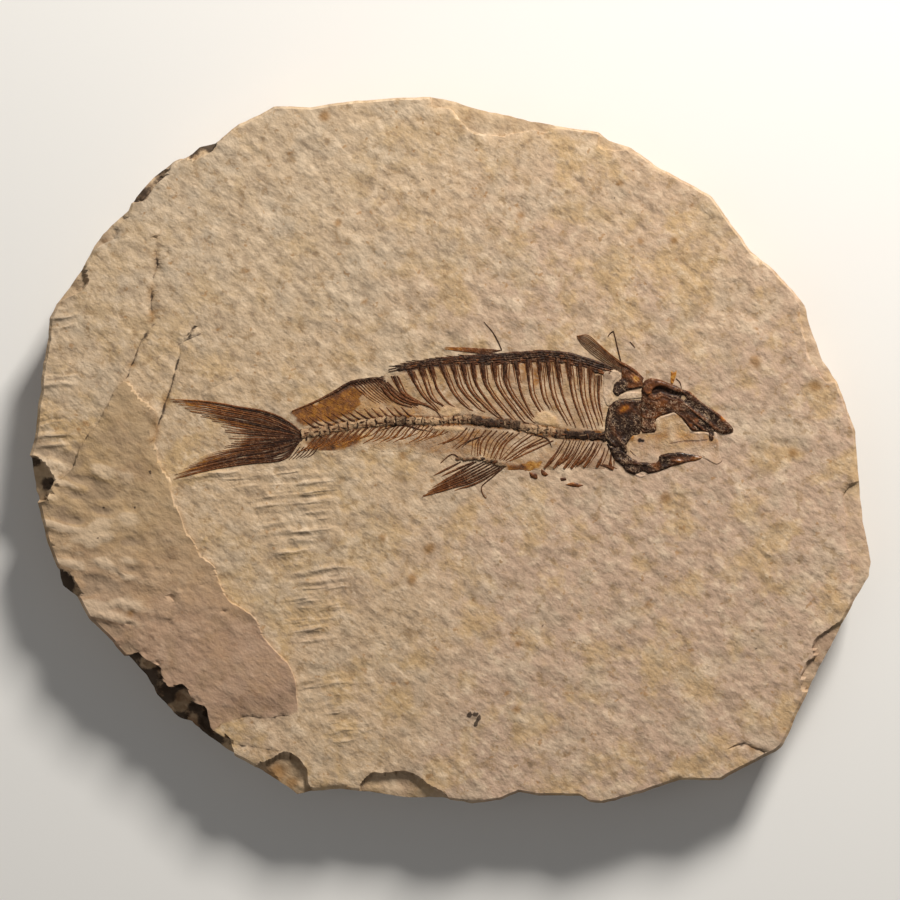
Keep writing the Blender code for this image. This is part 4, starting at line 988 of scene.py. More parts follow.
def guide_lines(bars, lift=0.0):
    """Edges along each line, with its half width, tone and bleach. They lie on the film.
    A bar that names no bleach has none."""
    spots = []
    edges = []
    fields = {"half": [], "tone": [], "bleach": []}
    for line, widths, tones, *bleaches in bars:
        track = smooth_line(line)
        first = len(spots)
        spots += track.tolist()
        edges += [(k, k + 1) for k in range(first, len(spots) - 1)]
        part = np.linspace(0.0, 1.0, len(track))
        bleach = bleaches[0] if bleaches else (0.0,)
        for field, given, unit in (("half", widths, MM), ("tone", tones, 1.0), ("bleach", bleach, 1.0)):
            values = np.interp(part, np.linspace(0.0, 1.0, len(given)), given)
            fields[field] += (values * unit).tolist()
    spots = np.array(spots)
    seat = (stone_height(spots[:, 0], spots[:, 1]) + FILM + lift) * MM
    fields["seat"] = seat.tolist()
    mesh = bpy.data.meshes.new("guide")
    mesh.from_pydata(np.column_stack([spots * MM, seat]).tolist(), edges, [])
    store(mesh, fields)
    return new_object("guide", mesh)


def grow(name, guide, tree, settings):
    """Plain mesh that a tree makes on a guide. The guide is used up."""
    modifier = guide.modifiers.new("grown", "NODES")
    modifier.node_group = tree
    for item in tree.interface.items_tree:
        if item.in_out == "INPUT" and item.name in settings:
            modifier[item.identifier] = settings[item.name]
    depsgraph = bpy.context.evaluated_depsgraph_get()
    mesh = bpy.data.meshes.new_from_object(
        guide.evaluated_get(depsgraph), preserve_all_data_layers=True, depsgraph=depsgraph)
    mesh.name = name
    mesh.shade_smooth()
    bpy.data.objects.remove(guide)
    piece = new_object(name, mesh)
    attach(piece, "root")
    return piece


# The tree behind every rib, spine and fin ray: a round bar along each line
WOBBLE_SCALE = 1100.0     # lumps to a metre in the wander of a bar
COMMON_INPUTS = (("Flatness", "Float"), ("Wobble", "Float"), ("Wobble Scale", "Float"), ("Seed", "Int"),
                 ("Material", "Material"))
g, given = new_tree("bone_bars", (("Sides", "Int"), *COMMON_INPUTS))
curve = g.make("GeometryNodeMeshToCurve", {"Mesh": given["Geometry"]})
half_width = g.make("GeometryNodeInputNamedAttribute", {"Name": "half"}, data_type="FLOAT")
section = g.make("GeometryNodeCurvePrimitiveCircle", {"Resolution": given["Sides"], "Radius": 1.0})
bar = g.make("GeometryNodeCurveToMesh", {"Curve": curve, "Profile Curve": section, "Scale": half_width,
                                         "Fill Caps": True})
bar_tree = close_tree(g, bar, given)


def bone_bars(name, bars, material, flatness=0.75, sides=6, wobble=0.14, seed=1, lift=0.0):
    """Piece made of one bar along each line."""
    settings = {"Sides": sides, "Flatness": flatness, "Wobble": wobble * MM, "Wobble Scale": WOBBLE_SCALE,
                "Seed": seed, "Material": material}
    return grow(name, guide_lines(bars, lift), bar_tree, settings)


# The tree behind the vertebrae: spools set along the column, each a little unlike the next
g, given = new_tree("vertebra_row", (("Count", "Int"), ("Length", "Float"), ("Width", "Float"),
                                     ("Variation", "Float"), *COMMON_INPUTS))
curve = g.make("GeometryNodeMeshToCurve", {"Mesh": given["Geometry"]})
curve = g.make("GeometryNodeResampleCurve", {"Curve": curve, "Count": given["Count"]})
axis = g.make("GeometryNodeCurvePrimitiveLine", {"Start": (-0.5, 0.0, 0.0), "End": (0.5, 0.0, 0.0)})
axis = g.make("GeometryNodeResampleCurve", {"Curve": axis, "Count": 11})
from_middle = g.make("GeometryNodeSplineParameter", out="Factor") * 2.0 - 1.0
flare = from_middle * from_middle
sockets = {"Geometry": axis, "Name": "joint", "Value": flare.over(0.45, 0.95)}
axis = g.make("GeometryNodeStoreNamedAttribute", sockets, data_type="FLOAT", domain="POINT")
section = g.make("GeometryNodeCurvePrimitiveCircle", {"Resolution": 14, "Radius": 1.0})
sockets = {"Curve": axis, "Profile Curve": section, "Scale": 0.42 + 0.08 * flare, "Fill Caps": True}
spool = g.make("GeometryNodeCurveToMesh", sockets)
tangent = g.make("GeometryNodeInputTangent")
turn = g.make("FunctionNodeAlignRotationToVector", {"Vector": tangent}, axis="X", pivot_axis="Z")
unlike = g.make("FunctionNodeRandomValue", {2: 1.0 - given["Variation"], 3: 1.0 + given["Variation"],
                                            "Seed": given["Seed"]}, out=1, data_type="FLOAT")
size = g.make("ShaderNodeCombineXYZ", {0: given["Length"], 1: given["Width"] * unlike, 2: given["Width"]})
row = g.make("GeometryNodeInstanceOnPoints", {"Points": curve, "Instance": spool, "Rotation": turn,
                                              "Scale": size})
vertebra_tree = close_tree(g, row, given)

rib_paint = bone_paint("rib_bone", 0.62, 0.0, 0.35)
shaker = np.random.default_rng(11)
column_tones = (0.45, 0.5, 0.55, 0.5, 0.45, 0.10, 0.45, 0.45, 0.5, 0.05, 0.0, 0.05, 0.45, 0.5, 0.0, 0.0,
                0.0)
column_bleach = (0.9, 0.7, 0.6, 0.9, 0.9, 0.25, 0.9, 0.9, 0.8, 0.1, 0.05, 0.1, 0.8, 0.6, 0.05, 0.0, 0.0)
column_guide = guide_lines(((COLUMN_LINE, (0.1,), column_tones, column_bleach),))
vertebra = {"Count": VERTEBRA_COUNT, "Length": 1.80 * MM, "Width": 1.90 * MM, "Variation": 0.20,
            "Flatness": 0.27, "Wobble": 1.20 * MM, "Wobble Scale": WOBBLE_SCALE, "Seed": 4,
            "Material": rib_paint}
backbone = grow("backbone_column", column_guide, vertebra_tree, vertebra)
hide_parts("backbone")

rib_bars = []
for number, line in enumerate(RIBS):
    dark = shaker.uniform(-0.08, 0.10)
    tones = (0.18 + dark, 0.28 + dark, 0.42, 0.45, 0.40, 0.34)
    reach_on = (*line, (line[-1][0] + 1.5, line[-1][1] - 0.9)) if 2 < number < 13 else line
    rib_bars.append((reach_on, (0.30, 0.30, 0.26, 0.23, 0.19, 0.10), tones))
    track = smooth_line(line)
    wedge = track[: int(len(track) * shaker.uniform(0.30, 0.42))]
    if 0 < number < 19:
        rib_bars.append((wedge[[0, len(wedge) // 2, -1]] + (0.1, 0.0), (0.40, 0.44, 0.30, 0.05),
                         (0.12 + dark, 0.24 + dark, 0.45)))
    for shift in (-0.42, 0.55):
        length = int(len(wedge) * shaker.uniform(0.8, 1.25))
        strip = track[: max(length, 3)] + (shift + shaker.uniform(-0.1, 0.1), 0.0)
        rib_bars.append((strip[[0, len(strip) // 2, -1]], (0.14, 0.13, 0.04), (0.3, 0.6)))
    if number % 4 != 3:
        beside = []
        for (x, y), shift in zip(line, (0.95, 0.80, 0.75)):
            beside.append((x + shift, y - 0.2))
        rib_bars.append((beside, (0.10, 0.13, 0.12, 0.08), (0.40, 0.55, 0.50)))
for line in REAR_RIBS:
    rib_bars.append((line, (0.18, 0.30, 0.24, 0.12), (0.25, 0.48, 0.30)))
bone_bars("ribs", rib_bars, rib_paint, flatness=0.6, wobble=0.24, seed=2)

spine_bars = []
for line in HEAD_SPINES:
    spine_bars.append((line, (0.10, 0.15, 0.22, 0.36, 0.26), (0.22, 0.38, 0.50)))
    shifted = np.array(line) + (shaker.uniform(0.6, 0.9), 0.1)
    spine_bars.append((shifted, (0.08, 0.11, 0.10, 0.05), (0.30, 0.50)))
for line in MID_SPINES:
    spine_bars.append((line, (0.15, 0.17, 0.12), (0.30, 0.48, 0.50)))
    shifted = np.array(line) + (shaker.uniform(-1.1, -0.7), shaker.uniform(-0.3, 0.3))
    spine_bars.append((shifted, (0.06, 0.10, 0.07), (0.34, 0.55)))
for line in STRAY_LINES:
    spine_bars.append((line, (0.06, 0.20, 0.17, 0.05), (0.12,)))
for k in range(19):
    x = -26.0 + 1.45 * k + shaker.uniform(-0.2, 0.2)
    y = line_y(COLUMN_LINE, x) - 0.9
    droop = shaker.uniform(0.85, 1.15)
    arch = ((x, y), (x - 1.0, y - 0.9 * droop), (x - 2.0, y - 2.1 * droop), (x - 3.9, y - 3.1 * droop))
    spine_bars.append((arch, (0.15, 0.16, 0.13, 0.06), (0.32, 0.62, 0.66)))
    beside = ((x + 0.8, y), (x - 0.1, y - 1.0), (x - 1.0, y - 1.9 * droop), (x - 2.8, y - 2.6 * droop))
    spine_bars.append((beside, (0.09, 0.10, 0.05), (0.38, 0.64)))
for k in range(14):
    x = -26.4 + 1.45 * k
    y = line_y(COLUMN_LINE, x) + 0.7
    reach = 2.6 if k < 8 else 2.0
    hook = ((x + 0.6, y), (x - 0.6, y + 0.6), (x - reach, y + 2.0))
    spine_bars.append((hook, (0.22, 0.19, 0.08), (0.10 if k < 8 else 0.35, 0.35, 0.55)))
bone_bars("back_spines", spine_bars, rib_paint, flatness=0.6, wobble=0.22, seed=3)

mark_bars = []
for k in range(2 * VERTEBRA_COUNT):
    x = -28.0 + 58.5 * k / (2 * VERTEBRA_COUNT - 1)
    y = line_y(COLUMN_LINE, x) + shaker.uniform(-0.25, 0.25)
    slant = shaker.uniform(-0.25, 0.25)
    half = shaker.uniform(0.07, 0.20)
    reach = shaker.uniform(0.30, 0.65)
    upright = ((x + slant, y + reach), (x - slant, y - reach))
    mark = upright if k % 2 else ((x - reach, y), (x + reach, y + slant))
    chalky = float(shaker.uniform() < 0.3) * (1.0 if x < 16.0 else 0.5)
    mark_bars.append((mark, (0.4 * half, half, 0.4 * half), (shaker.uniform(-0.1, 0.35),), (chalky,)))
bone_bars("column_marks", mark_bars, rib_paint, flatness=0.6, wobble=0.3, seed=4, lift=0.24)

# Belly scutes: keeled plates in a row along the belly, each ending in a point towards the tail
# and overlapping the next. They are the blackest bone on the fish.
SCUTE_COUNT = 36
scute_paint = bone_paint("scute_bone", 0.5, 0.05, 0.45)
scute_bars = []
for k in range(SCUTE_COUNT):
    x = -8.9 + 39.6 * k / (SCUTE_COUNT - 1)
    y = line_y(SCUTE_LINE, x)
    stout = 0.50 + 0.50 * float(smooth(-2.0, 12.0, np.array(x)))
    proud = 0.68 + shaker.uniform(-0.12, 0.22)
    tip = (x - 3.1, line_y(SCUTE_LINE, x - 3.1) + proud)
    blade = ((x + 0.9, y + 0.1 * stout), (x - 1.0, line_y(SCUTE_LINE, x - 1.0) + 0.45 * stout), tip)
    tone = shaker.uniform(-0.10, 0.18)
    scute_bars.append((blade, (0.16, 0.34 * stout, 0.26 * stout, 0.03), (tone, tone + 0.15)))
    for level in (-0.35, 0.1, 0.5, 0.95, 1.35):
        near_x = x + shaker.uniform(-0.4, 1.4)
        far_x = near_x - shaker.uniform(1.2, 2.6)
        near_y = line_y(SCUTE_LINE, near_x) - level * stout + shaker.uniform(-0.12, 0.12)
        far_y = line_y(SCUTE_LINE, far_x) - level * stout + shaker.uniform(-0.12, 0.12)
        half = shaker.uniform(0.16, 0.32) * (0.6 + 0.4 * stout)
        shade = tone + shaker.uniform(-0.05, 0.35)
        scute_bars.append((((near_x, near_y), (far_x, far_y)), (0.05, half, half, 0.04), (shade,)))
for drop in (0.0, 0.45):
    row_base = []
    for x, y in SCUTE_LINE:
        row_base.append((x, y - drop))
    scute_bars.append((row_base, (0.10, 0.16, 0.20, 0.24, 0.24, 0.20), (0.10, 0.02)))
scutes = bone_bars("belly_scute_row", scute_bars, scute_paint, flatness=0.6, seed=5)
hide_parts("belly_scutes")

# Fins: fans of jointed rays, reddish brown towards their tips, on the film of their skin. The
# rays are thin rods of bone, pressed flat and still in their natural order.
TAIL_RAYS = (
    ((-29.0, 3.5), (-34.3, 7.1), (-40.1, 8.2), (-47.9, 9.6), (-55.0, 9.9)),
    ((-29.0, 3.2), (-35.2, 6.1), (-41.1, 7.4), (-47.9, 8.7), (-53.2, 9.1)),
    ((-29.0, 3.0), (-35.6, 5.3), (-41.1, 6.4), (-47.4, 7.6), (-51.7, 8.0)),
    ((-29.0, 2.8), (-35.6, 4.5), (-41.1, 5.6), (-46.0, 6.4), (-49.3, 7.0)),
    ((-29.0, 2.7), (-35.6, 3.7), (-40.7, 4.5), (-44.6, 5.0)),
    ((-29.0, 2.5), (-35.6, 2.9), (-40.1, 3.1), (-43.4, 3.4)),
    ((-29.0, 2.4), (-35.6, 2.1), (-41.1, 1.6), (-43.0, 1.6)),
    ((-29.0, 2.3), (-35.2, 1.4), (-40.1, 0.9), (-44.0, 0.5)),
    ((-29.0, 2.1), (-34.8, 0.7), (-40.1, 0.1), (-46.0, -1.1), (-49.3, -2.1)),
    ((-29.0, 1.9), (-34.3, -0.1), (-40.1, -0.9), (-46.6, -2.3), (-51.5, -3.6)),
    ((-29.2, 1.8), (-33.3, -0.9), (-40.1, -1.7), (-47.0, -3.1), (-52.8, -4.6)),
    ((-29.6, 1.4), (-32.5, -1.8), (-39.1, -2.6), (-46.6, -3.8), (-54.0, -5.7)),
)
TAIL_OUTLINE = (
    (-54.4, 9.9), (-51.9, 10.1), (-48.9, 9.8), (-44.6, 8.9), (-41.1, 8.4), (-37.2, 7.8),
    (-34.3, 7.1), (-32.3, 5.7), (-29.2, 3.8), (-28.6, 2.4), (-31.2, -1.8), (-32.7, -2.4),
    (-35.2, -2.6), (-39.1, -2.8), (-43.1, -3.4), (-47.0, -4.1), (-50.9, -5.1), (-54.0, -5.9),
    (-54.4, -5.6), (-51.1, -2.7), (-47.6, -0.7), (-43.1, 0.5), (-41.5, 1.3), (-40.6, 2.4), (-43.4, 3.8),
    (-46.0, 5.6), (-47.9, 6.9), (-50.9, 7.5), (-52.8, 8.9),
)
TAIL_FORK = TAIL_OUTLINE[18:]
DORSAL_RAYS = (
    ((2.1, -2.3), (-0.4, -3.6), (-3.2, -5.0)), ((4.6, -2.3), (1.0, -3.9), (-1.6, -5.1)),
    ((5.1, -2.3), (1.3, -4.6), (-2.6, -6.8)), ((6.4, -2.4), (2.1, -4.6), (-3.4, -7.3)),
    ((7.2, -2.5), (2.9, -4.8), (-4.3, -8.1)), ((8.2, -2.6), (3.6, -5.0), (-4.4, -8.4)),
    ((9.2, -2.7), (4.3, -5.2), (-4.7, -8.7)), ((9.8, -2.9), (4.7, -5.6), (-2.4, -8.2), (-5.3, -8.9)),
    ((10.3, -3.1), (4.9, -6.0), (0.0, -7.5), (-5.5, -9.2)), ((10.5, -3.3), (5.6, -6.3), (0.9, -7.9)),
)
DORSAL_EXTRAS = (
    ((2.1, -1.9), (0.8, -0.9), (-0.2, -1.1), (-1.8, -2.5)),
    ((10.7, -3.2), (8.4, -5.2), (6.2, -7.2), (6.6, -8.9), (7.1, -9.4)),
)
PECTORAL_RAYS = (
    ((24.8, 22.3), (26.3, 22.7), (28.3, 21.4), (31.7, 18.5), (34.6, 16.2)),
    ((24.8, 22.1), (26.3, 21.4), (28.4, 20.0), (31.4, 17.7), (34.2, 15.8)),
    ((24.9, 21.8), (26.1, 20.3), (28.3, 18.4), (31.2, 16.5), (33.6, 15.3)),
)

fin_paint = bone_paint("fin_bone", 0.6, 0.0, 0.45)


def fan_between(rays, between, jitter, ragged=0.0):
    """The rays given, with more between each two that take an even path from one to the other."""
    made = []
    for near, far in zip(rays, rays[1:]):
        tracks = []
        for ray in (near, far):
            track = smooth_line(ray, 0.6)
            tracks.append(track[np.linspace(0, len(track) - 1, 7).astype(int)])
        for k in range(between + 1):
            share = k / (between + 1)
            line = blend(tracks[0], tracks[1], share)
            line[1:] += shaker.uniform(-jitter, jitter, (len(line) - 1, 2))
            line[-1] += (line[-1] - line[-2]) * shaker.uniform(-ragged, ragged)
            made.append(line)
    made.append(np.array(rays[-1]))
    return made


tail_bars = []
for number, line in enumerate(fan_between(TAIL_RAYS, 2, 0.12, ragged=0.4)):
    root_tone = shaker.uniform(-0.12, 0.34)
    stout = 0.19 if number % 3 == 0 else shaker.uniform(0.08, 0.16)
    tail_bars.append((line, (0.7 * stout, stout, stout, 0.8 * stout, 0.04),
                      (root_tone, root_tone + 0.15, root_tone + 0.45)))
for k in range(6):
    x = -31.5 + 0.72 * k
    tail_bars.append((((x, -1.9 + 0.1 * k), (x + 1.1, -0.8), (x + 2.2, 0.6)), (0.06, 0.11, 0.09), (0.2,)))
for x in (-28.9, -28.0):
    tail_bars.append((((x, 3.9), (x - 0.1, 1.9)), (0.22, 0.26, 0.18), (0.05,)))
tail = bone_bars("tail_rays", tail_bars, fin_paint, flatness=0.6, seed=6)
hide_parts("tail_fin")


def tail_film(x, y, depth):
    """Dark at the fin's root and edges, redder to its tips, streaked along the rays."""
    turn = np.arctan2(y - 2.5, -28.0 - x)
    far = np.hypot(y - 2.5, x + 28.0)
    streak = ripple(turn * 55.0, far * 0.30, 1.0, 620) * smooth(1.0, 6.0, far)
    patchy = ripple(x, y, 1.8, 621)
    to_fork = to_line(x, y, TAIL_FORK)[0]
    bare = smooth(0.15, 0.75, -streak) * smooth(-0.6, 0.3, patchy)
    stain = (1.05 + 0.25 * patchy + 0.50 * streak) * smooth(0.0, 0.4, depth) * smooth(-0.3, 1.8, to_fork)
    stain = stain * (1.0 - 0.55 * bare)
    tone = 0.23 + 0.18 * smooth(8.0, 24.0, far) + 0.30 * streak + 0.14 * patchy
    tone = tone + 0.14 * smooth(2.0, 0.5, to_fork)
    rise = FILM * (0.5 + smooth(0.0, 0.3, depth) * (0.5 + 0.4 * streak))
    return rise, {"stain": stain, "tone": tone, "pale": 0.40 * bare}


relief("tail_film", TAIL_OUTLINE, 0.16, tail_film, skin_paint, "fin_bone", rough=0.2, seed=504)

anal_bars = [(ANAL_EDGE, (0.12, 0.22, 0.32, 0.34, 0.20), (0.50, 0.35, 0.08, 0.10))]
for k in range(13):
    x = -19.2 + 0.58 * k
    y = line_y(ANAL_EDGE, x) - 0.1
    ray = ((x, y), (x + 1.5, y - 1.5), (x + 3.1, y - 2.9), (x + 4.8 + 0.1 * k, y - 4.0 - 0.1 * k))
    anal_bars.append((ray, (0.17, 0.13, 0.10, 0.06), (0.20, 0.45, 0.55)))
for k in range(7):
    x = -28.6 + 1.5 * k
    y = line_y(ANAL_EDGE, x) - 0.3
    anal_bars.append((((x, y), (x + 1.6, y - 0.9), (x + 3.4, y - 2.2)), (0.05, 0.09, 0.05), (0.55, 0.70)))
anal = bone_bars("anal_rays", anal_bars, fin_paint, flatness=0.5, wobble=0.2, seed=7)
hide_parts("anal_fin")

dorsal_bars = []
for k in range(16):
    x = 1.6 + 0.6 * k
    y = line_y(((1.5, -1.9), (4.9, -1.8), (7.8, -2.1), (10.9, -3.1)), x) + shaker.uniform(-0.15, 0.15)
    knuckle = ((x - 0.5, y + shaker.uniform(-0.3, 0.3)), (x + 0.5, y + shaker.uniform(-0.3, 0.3)))
    tone = shaker.uniform(-0.1, 0.3)
    dorsal_bars.append((knuckle, (0.24, 0.36, 0.22), (tone,), (shaker.uniform(0.0, 0.5),)))
for line in DORSAL_RAYS:
    dorsal_bars.append((line, (0.12, 0.19, 0.22, 0.19, 0.05), (0.12, 0.28, 0.40, 0.62)))
for line in DORSAL_EXTRAS:
    dorsal_bars.append((line, (0.16, 0.13, 0.10), (0.10, 0.40)))
dorsal = bone_bars("dorsal_rays", dorsal_bars, fin_paint, flatness=0.6, seed=8)
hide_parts("dorsal_fin")

pectoral_bars = []
for number, line in enumerate(fan_between(PECTORAL_RAYS, 3, 0.05)):
    tone = 0.50 if number < 2 else shaker.uniform(0.10, 0.38)
    pectoral_bars.append((line, (0.04, 0.07, 0.08, 0.09), (tone + 0.1, tone), (0.15 * (number > 5),)))
for k in range(9):
    x = 26.4 + 0.75 * k
    y = 20.4 - 0.62 * k
    pectoral_bars.append((((x, y), (x + 1.0, y + 0.55)), (0.06, 0.07), (0.35,), (0.2,)))
for line in (((33.4, 17.3), (32.8, 19.8), (32.0, 23.2)), ((32.0, 23.2), (31.4, 22.9), (30.9, 22.2))):
    pectoral_bars.append((line, (0.13, 0.12, 0.10), (0.05, 0.2)))
pectoral_bars.append((((33.2, 17.1), (35.6, 15.7), (37.7, 13.8)), (0.30, 0.42, 0.35), (0.45, 0.30)))
pectoral = bone_bars("pectoral_rays", pectoral_bars, fin_paint, flatness=0.8, wobble=0.06,
                     seed=9)
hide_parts("pectoral_fin")

pelvic_bars = []
for k in range(9):
    tip = (-0.9 + 0.6 * (k % 4), 19.7 + 0.05 * k)
    line = ((7.4 + 0.35 * k, 18.7 + 0.10 * k), (3.5, 19.2 + 0.09 * k), tip)
    pelvic_bars.append((line, (0.06, 0.11, 0.11, 0.04), (0.20, 0.50, 0.74)))
pelvic = bone_bars("pelvic_rays", pelvic_bars, fin_paint, flatness=0.6, wobble=0.2, seed=10)
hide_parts("pelvic_fin")

NEEDLE = ((6.6, 25.1), (8.4, 23.0), (9.6, 20.8), (10.1, 19.6))
needle_bars = [(NEEDLE, (0.05, 0.09, 0.12, 0.11), (0.1,))]
loose = bone_bars("loose_needle", needle_bars, fin_paint, seed=11)
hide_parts("loose_spine")

# Head: thin flat bones, crushed and cracked, with the stone's dust in the cracks. The skull's
# roof is smooth and red. A window in the cheek shows the bed.
SKULL = (
    (37.7, 13.2), (38.6, 13.8), (39.6, 14.1), (41.2, 13.8), (43.4, 12.8), (45.5, 11.8), (46.9, 11.6),
    (48.9, 9.7), (51.6, 7.5), (53.9, 6.1), (55.6, 4.4), (55.5, 3.4), (53.6, 3.2), (51.6, 3.6),
    (51.4, 1.6), (50.6, 1.8), (50.4, 3.6), (48.5, 3.6), (47.1, 3.8), (45.7, 5.7), (45.0, 6.7),
    (43.8, 7.3), (42.4, 6.9), (40.6, 6.3), (40.1, 5.4), (40.5, 3.4), (37.2, 3.1), (37.2, 6.7),
    (37.3, 9.9), (37.4, 11.5),
)
GILL_COVER = (
    (37.5, 9.7), (37.5, 3.1), (35.6, 2.6), (34.6, 1.1), (34.9, -0.9), (32.8, 0.0), (31.1, 0.9), (30.1, 2.6),
    (30.5, 5.9), (31.1, 8.5), (32.4, 9.7), (34.8, 9.9),
)
LOWER_JAW = (
    (30.5, 1.4), (32.0, 0.7), (33.6, 0.3), (35.2, -1.3), (37.1, -2.3), (39.1, -2.7),
    (40.8, -2.2), (41.0, -1.0), (42.6, -0.6), (45.5, -0.4), (47.9, -0.8), (49.6, -1.3),
    (49.4, -1.8), (47.9, -2.4), (45.7, -2.8), (43.4, -3.3), (41.2, -4.2), (38.5, -4.8),
    (37.9, -4.1), (36.3, -4.9), (34.8, -4.5), (33.4, -2.8), (31.7, -1.4),
)
SHOULDER = (
    (34.0, 16.6), (35.8, 15.5), (37.8, 14.0), (37.9, 12.0), (34.8, 11.6), (33.0, 10.4),
    (31.7, 11.2), (32.0, 13.0), (33.4, 14.0), (33.3, 15.4),
)
SKULL_CAP = (
    (37.6, 11.7), (37.9, 13.2), (39.0, 13.9), (40.5, 14.1), (42.2, 13.4), (43.9, 12.7), (45.4, 11.8),
    (45.7, 11.1), (44.3, 11.3), (43.0, 11.8), (41.8, 12.4), (40.5, 12.4), (39.7, 11.9), (39.2, 11.0),
    (38.4, 10.6),
)
CAP_SHADOW = ((39.9, 11.3), (41.1, 11.9), (42.6, 11.5), (44.1, 10.9), (45.6, 10.4))

head_paint = bone_paint("head_bone", 0.5, 0.04, 0.75)


def spot_at(x, y, px, py, radius):
    """1 in the middle of a round spot, fading to 0 at its radius."""
    return smooth(radius, radius * 0.35, np.hypot(x - px, y - py))


def skull_look(x, y, depth):
    """Smooth red cap with a painted shadow darkening the fold under it, brown bands that follow the
    fold, and a snout in long slanting ridges."""
    cap = smooth(-0.1, 0.2, depth_in(x, y, SKULL_CAP))
    to_fold = to_line(x, y, CAP_SHADOW)[0] + 0.25 * ripple(x, y, 1.1, 633)
    fold = smooth(0.62, 0.30, to_fold) * (1.0 - cap)
    on_snout = smooth(45.8, 47.2, x + 0.4 * (y - 7.0))
    bands = ripple(to_fold, (x - y) * 0.1, 0.42, 631)
    across = (x - 46.9) * 0.63 + (y - 11.2) * 0.78
    slats = ripple(across, (x - y) * 0.045, 0.40, 630)
    tone = 0.27 + 0.14 * ripple(x, y, 1.3, 634) + 0.18 * bands
    tone = blend(tone, 0.18 + 0.34 * slats, on_snout)
    tone = blend(tone, 0.36 + 0.12 * ripple(x, y, 0.9, 635), cap)
    # Painted shadow: the fold under the cap's edge is darkened towards black
    tone = tone * (1.0 - fold)
    for px, py, radius, gain in ((53.4, 6.2, 1.0, 0.5), (48.2, 5.9, 0.7, 0.4), (47.0, 4.8, 0.5, 0.35),
                                 (38.9, 11.3, 0.7, 0.25), (49.9, 5.2, 1.1, -0.25), (41.5, 8.6, 1.6, 0.1),
                                 (38.6, 4.6, 1.1, -0.2), (55.0, 4.2, 0.6, -0.3)):
        tone = tone + gain * spot_at(x, y, px, py, radius)
    dust = 0.7 * smooth(-0.6, 0.4, ripple(x, y, 2.0, 636)) - 0.75 * cap - 0.9 * fold
    dust = dust + 1.1 * on_snout * smooth(0.3, 0.8, -slats) * smooth(55.0, 52.0, x)
    for place_x, seed in ((37.6, 637), (39.9, 638)):
        wander = 0.3 * ripple(x, y, 1.3, seed)
        crack = smooth(0.30, 0.08, np.abs(x - place_x - wander))
        dust = dust + 2.0 * crack * smooth(10.8, 10.0, y) * (y > 2.5)
    rise = 0.36 + 0.26 * cap + 0.16 * on_snout * slats - 0.26 * fold + 0.10 * bands * (1.0 - on_snout)
    rise = rise + 0.10 * ripple(x, y, 1.4, 639) + 0.06 * ripple(x, y, 0.5, 640)
    return rise * smooth(-0.15, 0.45, depth), {"tone": tone, "dust": dust, "gloss": 0.2 * cap}


def gill_look(x, y, depth):
    """Black crackled bone with one smooth amber window near its top."""
    window = np.maximum(spot_at(x, y, 34.0, 8.1, 2.3), spot_at(x, y, 35.6, 8.4, 1.8))
    glow = smooth(1.8, 0.3, np.hypot(x - 34.1, (y - 8.1 - 0.25 * (x - 34.1)) * 1.5))
    arcs = ripple(np.hypot(x - 38.5, y - 6.5), (x + y) * 0.1, 0.5, 656)
    tone = 0.06 + 0.16 * ripple(x, y, 1.1, 652) + 0.14 * arcs - 0.12 * smooth(3.5, 1.5, y)
    tone = blend(tone, 0.10 + 0.64 * glow, window)
    dust = (0.3 + 0.9 * smooth(0.2, 0.7, arcs)) * (1.0 - window)
    dust = dust * smooth(-0.5, 0.5, ripple(x, y, 1.8, 653))
    from_middle = np.hypot(x - 35.2, y - 6.6)
    rim = smooth(0.55, 0.2, from_middle - 3.9) * smooth(2.2, 3.2, from_middle)
    dust = dust + 0.8 * rim * (x < 33.5) * (y > 6.0) - 0.9 * window
    rise = 0.34 + 0.14 * ripple(x, y, 1.5, 654) + 0.10 * arcs + 0.06 * ripple(x, y, 0.5, 655)
    return rise * smooth(-0.15, 0.5, depth), {"tone": tone, "dust": dust, "gloss": 0.05 * window}


def jaw_look(x, y, depth):
    """Black where it hinges and at its middle, red-brown forward, amber at its tip."""
    along = ripple((x - 3.0 * y) * 0.08, y + 0.10 * (x - 41.0), 0.45, 662)
    tone = 0.05 + 0.16 * ripple(x, y, 1.1, 663) + 0.14 * along
    tone = tone + 0.36 * smooth(42.9, 43.9, x) * smooth(-0.9, -1.6, y) + 0.30 * smooth(46.5, 48.5, x)
    tone = tone - 0.3 * spot_at(x, y, 42.0, -1.9, 1.3) + 0.35 * spot_at(x, y, 40.4, -3.0, 1.3)
    dust = 0.2 * smooth(40.5, 38.5, x) + 1.0 * spot_at(x, y, 45.9, -2.7, 0.7)
    dust = dust + 0.5 * smooth(0.4, 0.8, along)
    rise = 0.36 + 0.14 * ripple(x, y, 1.2, 664) + 0.10 * along
    gloss = 0.3 * smooth(43.0, 46.0, x)
    return rise * smooth(-0.15, 0.5, depth), {"tone": tone, "dust": dust, "gloss": gloss}


def shoulder_look(x, y, depth):
    """Reddish strut with an amber glint, black and grey broken bone behind it."""
    tone = 0.38 + 0.20 * ripple(x, y, 0.9, 671) + 0.45 * spot_at(x, y, 36.4, 13.9, 0.9)
    broken = smooth(35.0, 34.0, x) * smooth(14.4, 13.6, y)
    line = smooth(0.35, 0.1, to_line(x, y, ((32.0, 11.6), (33.0, 12.0), (35.5, 11.9), (38.0, 12.2)))[0])
    tone = tone * (1.0 - broken) - 0.45 * line
    dust = 2.2 * broken * smooth(0.0, 0.4, ripple(x, y, 0.8, 672)) + 0.6 * spot_at(x, y, 34.0, 12.5, 0.9)
    rise = 0.30 + 0.16 * ripple(x, y, 1.0, 674)
    return rise * smooth(-0.15, 0.45, depth), {"tone": tone, "dust": dust, "gloss": np.zeros(x.shape)}


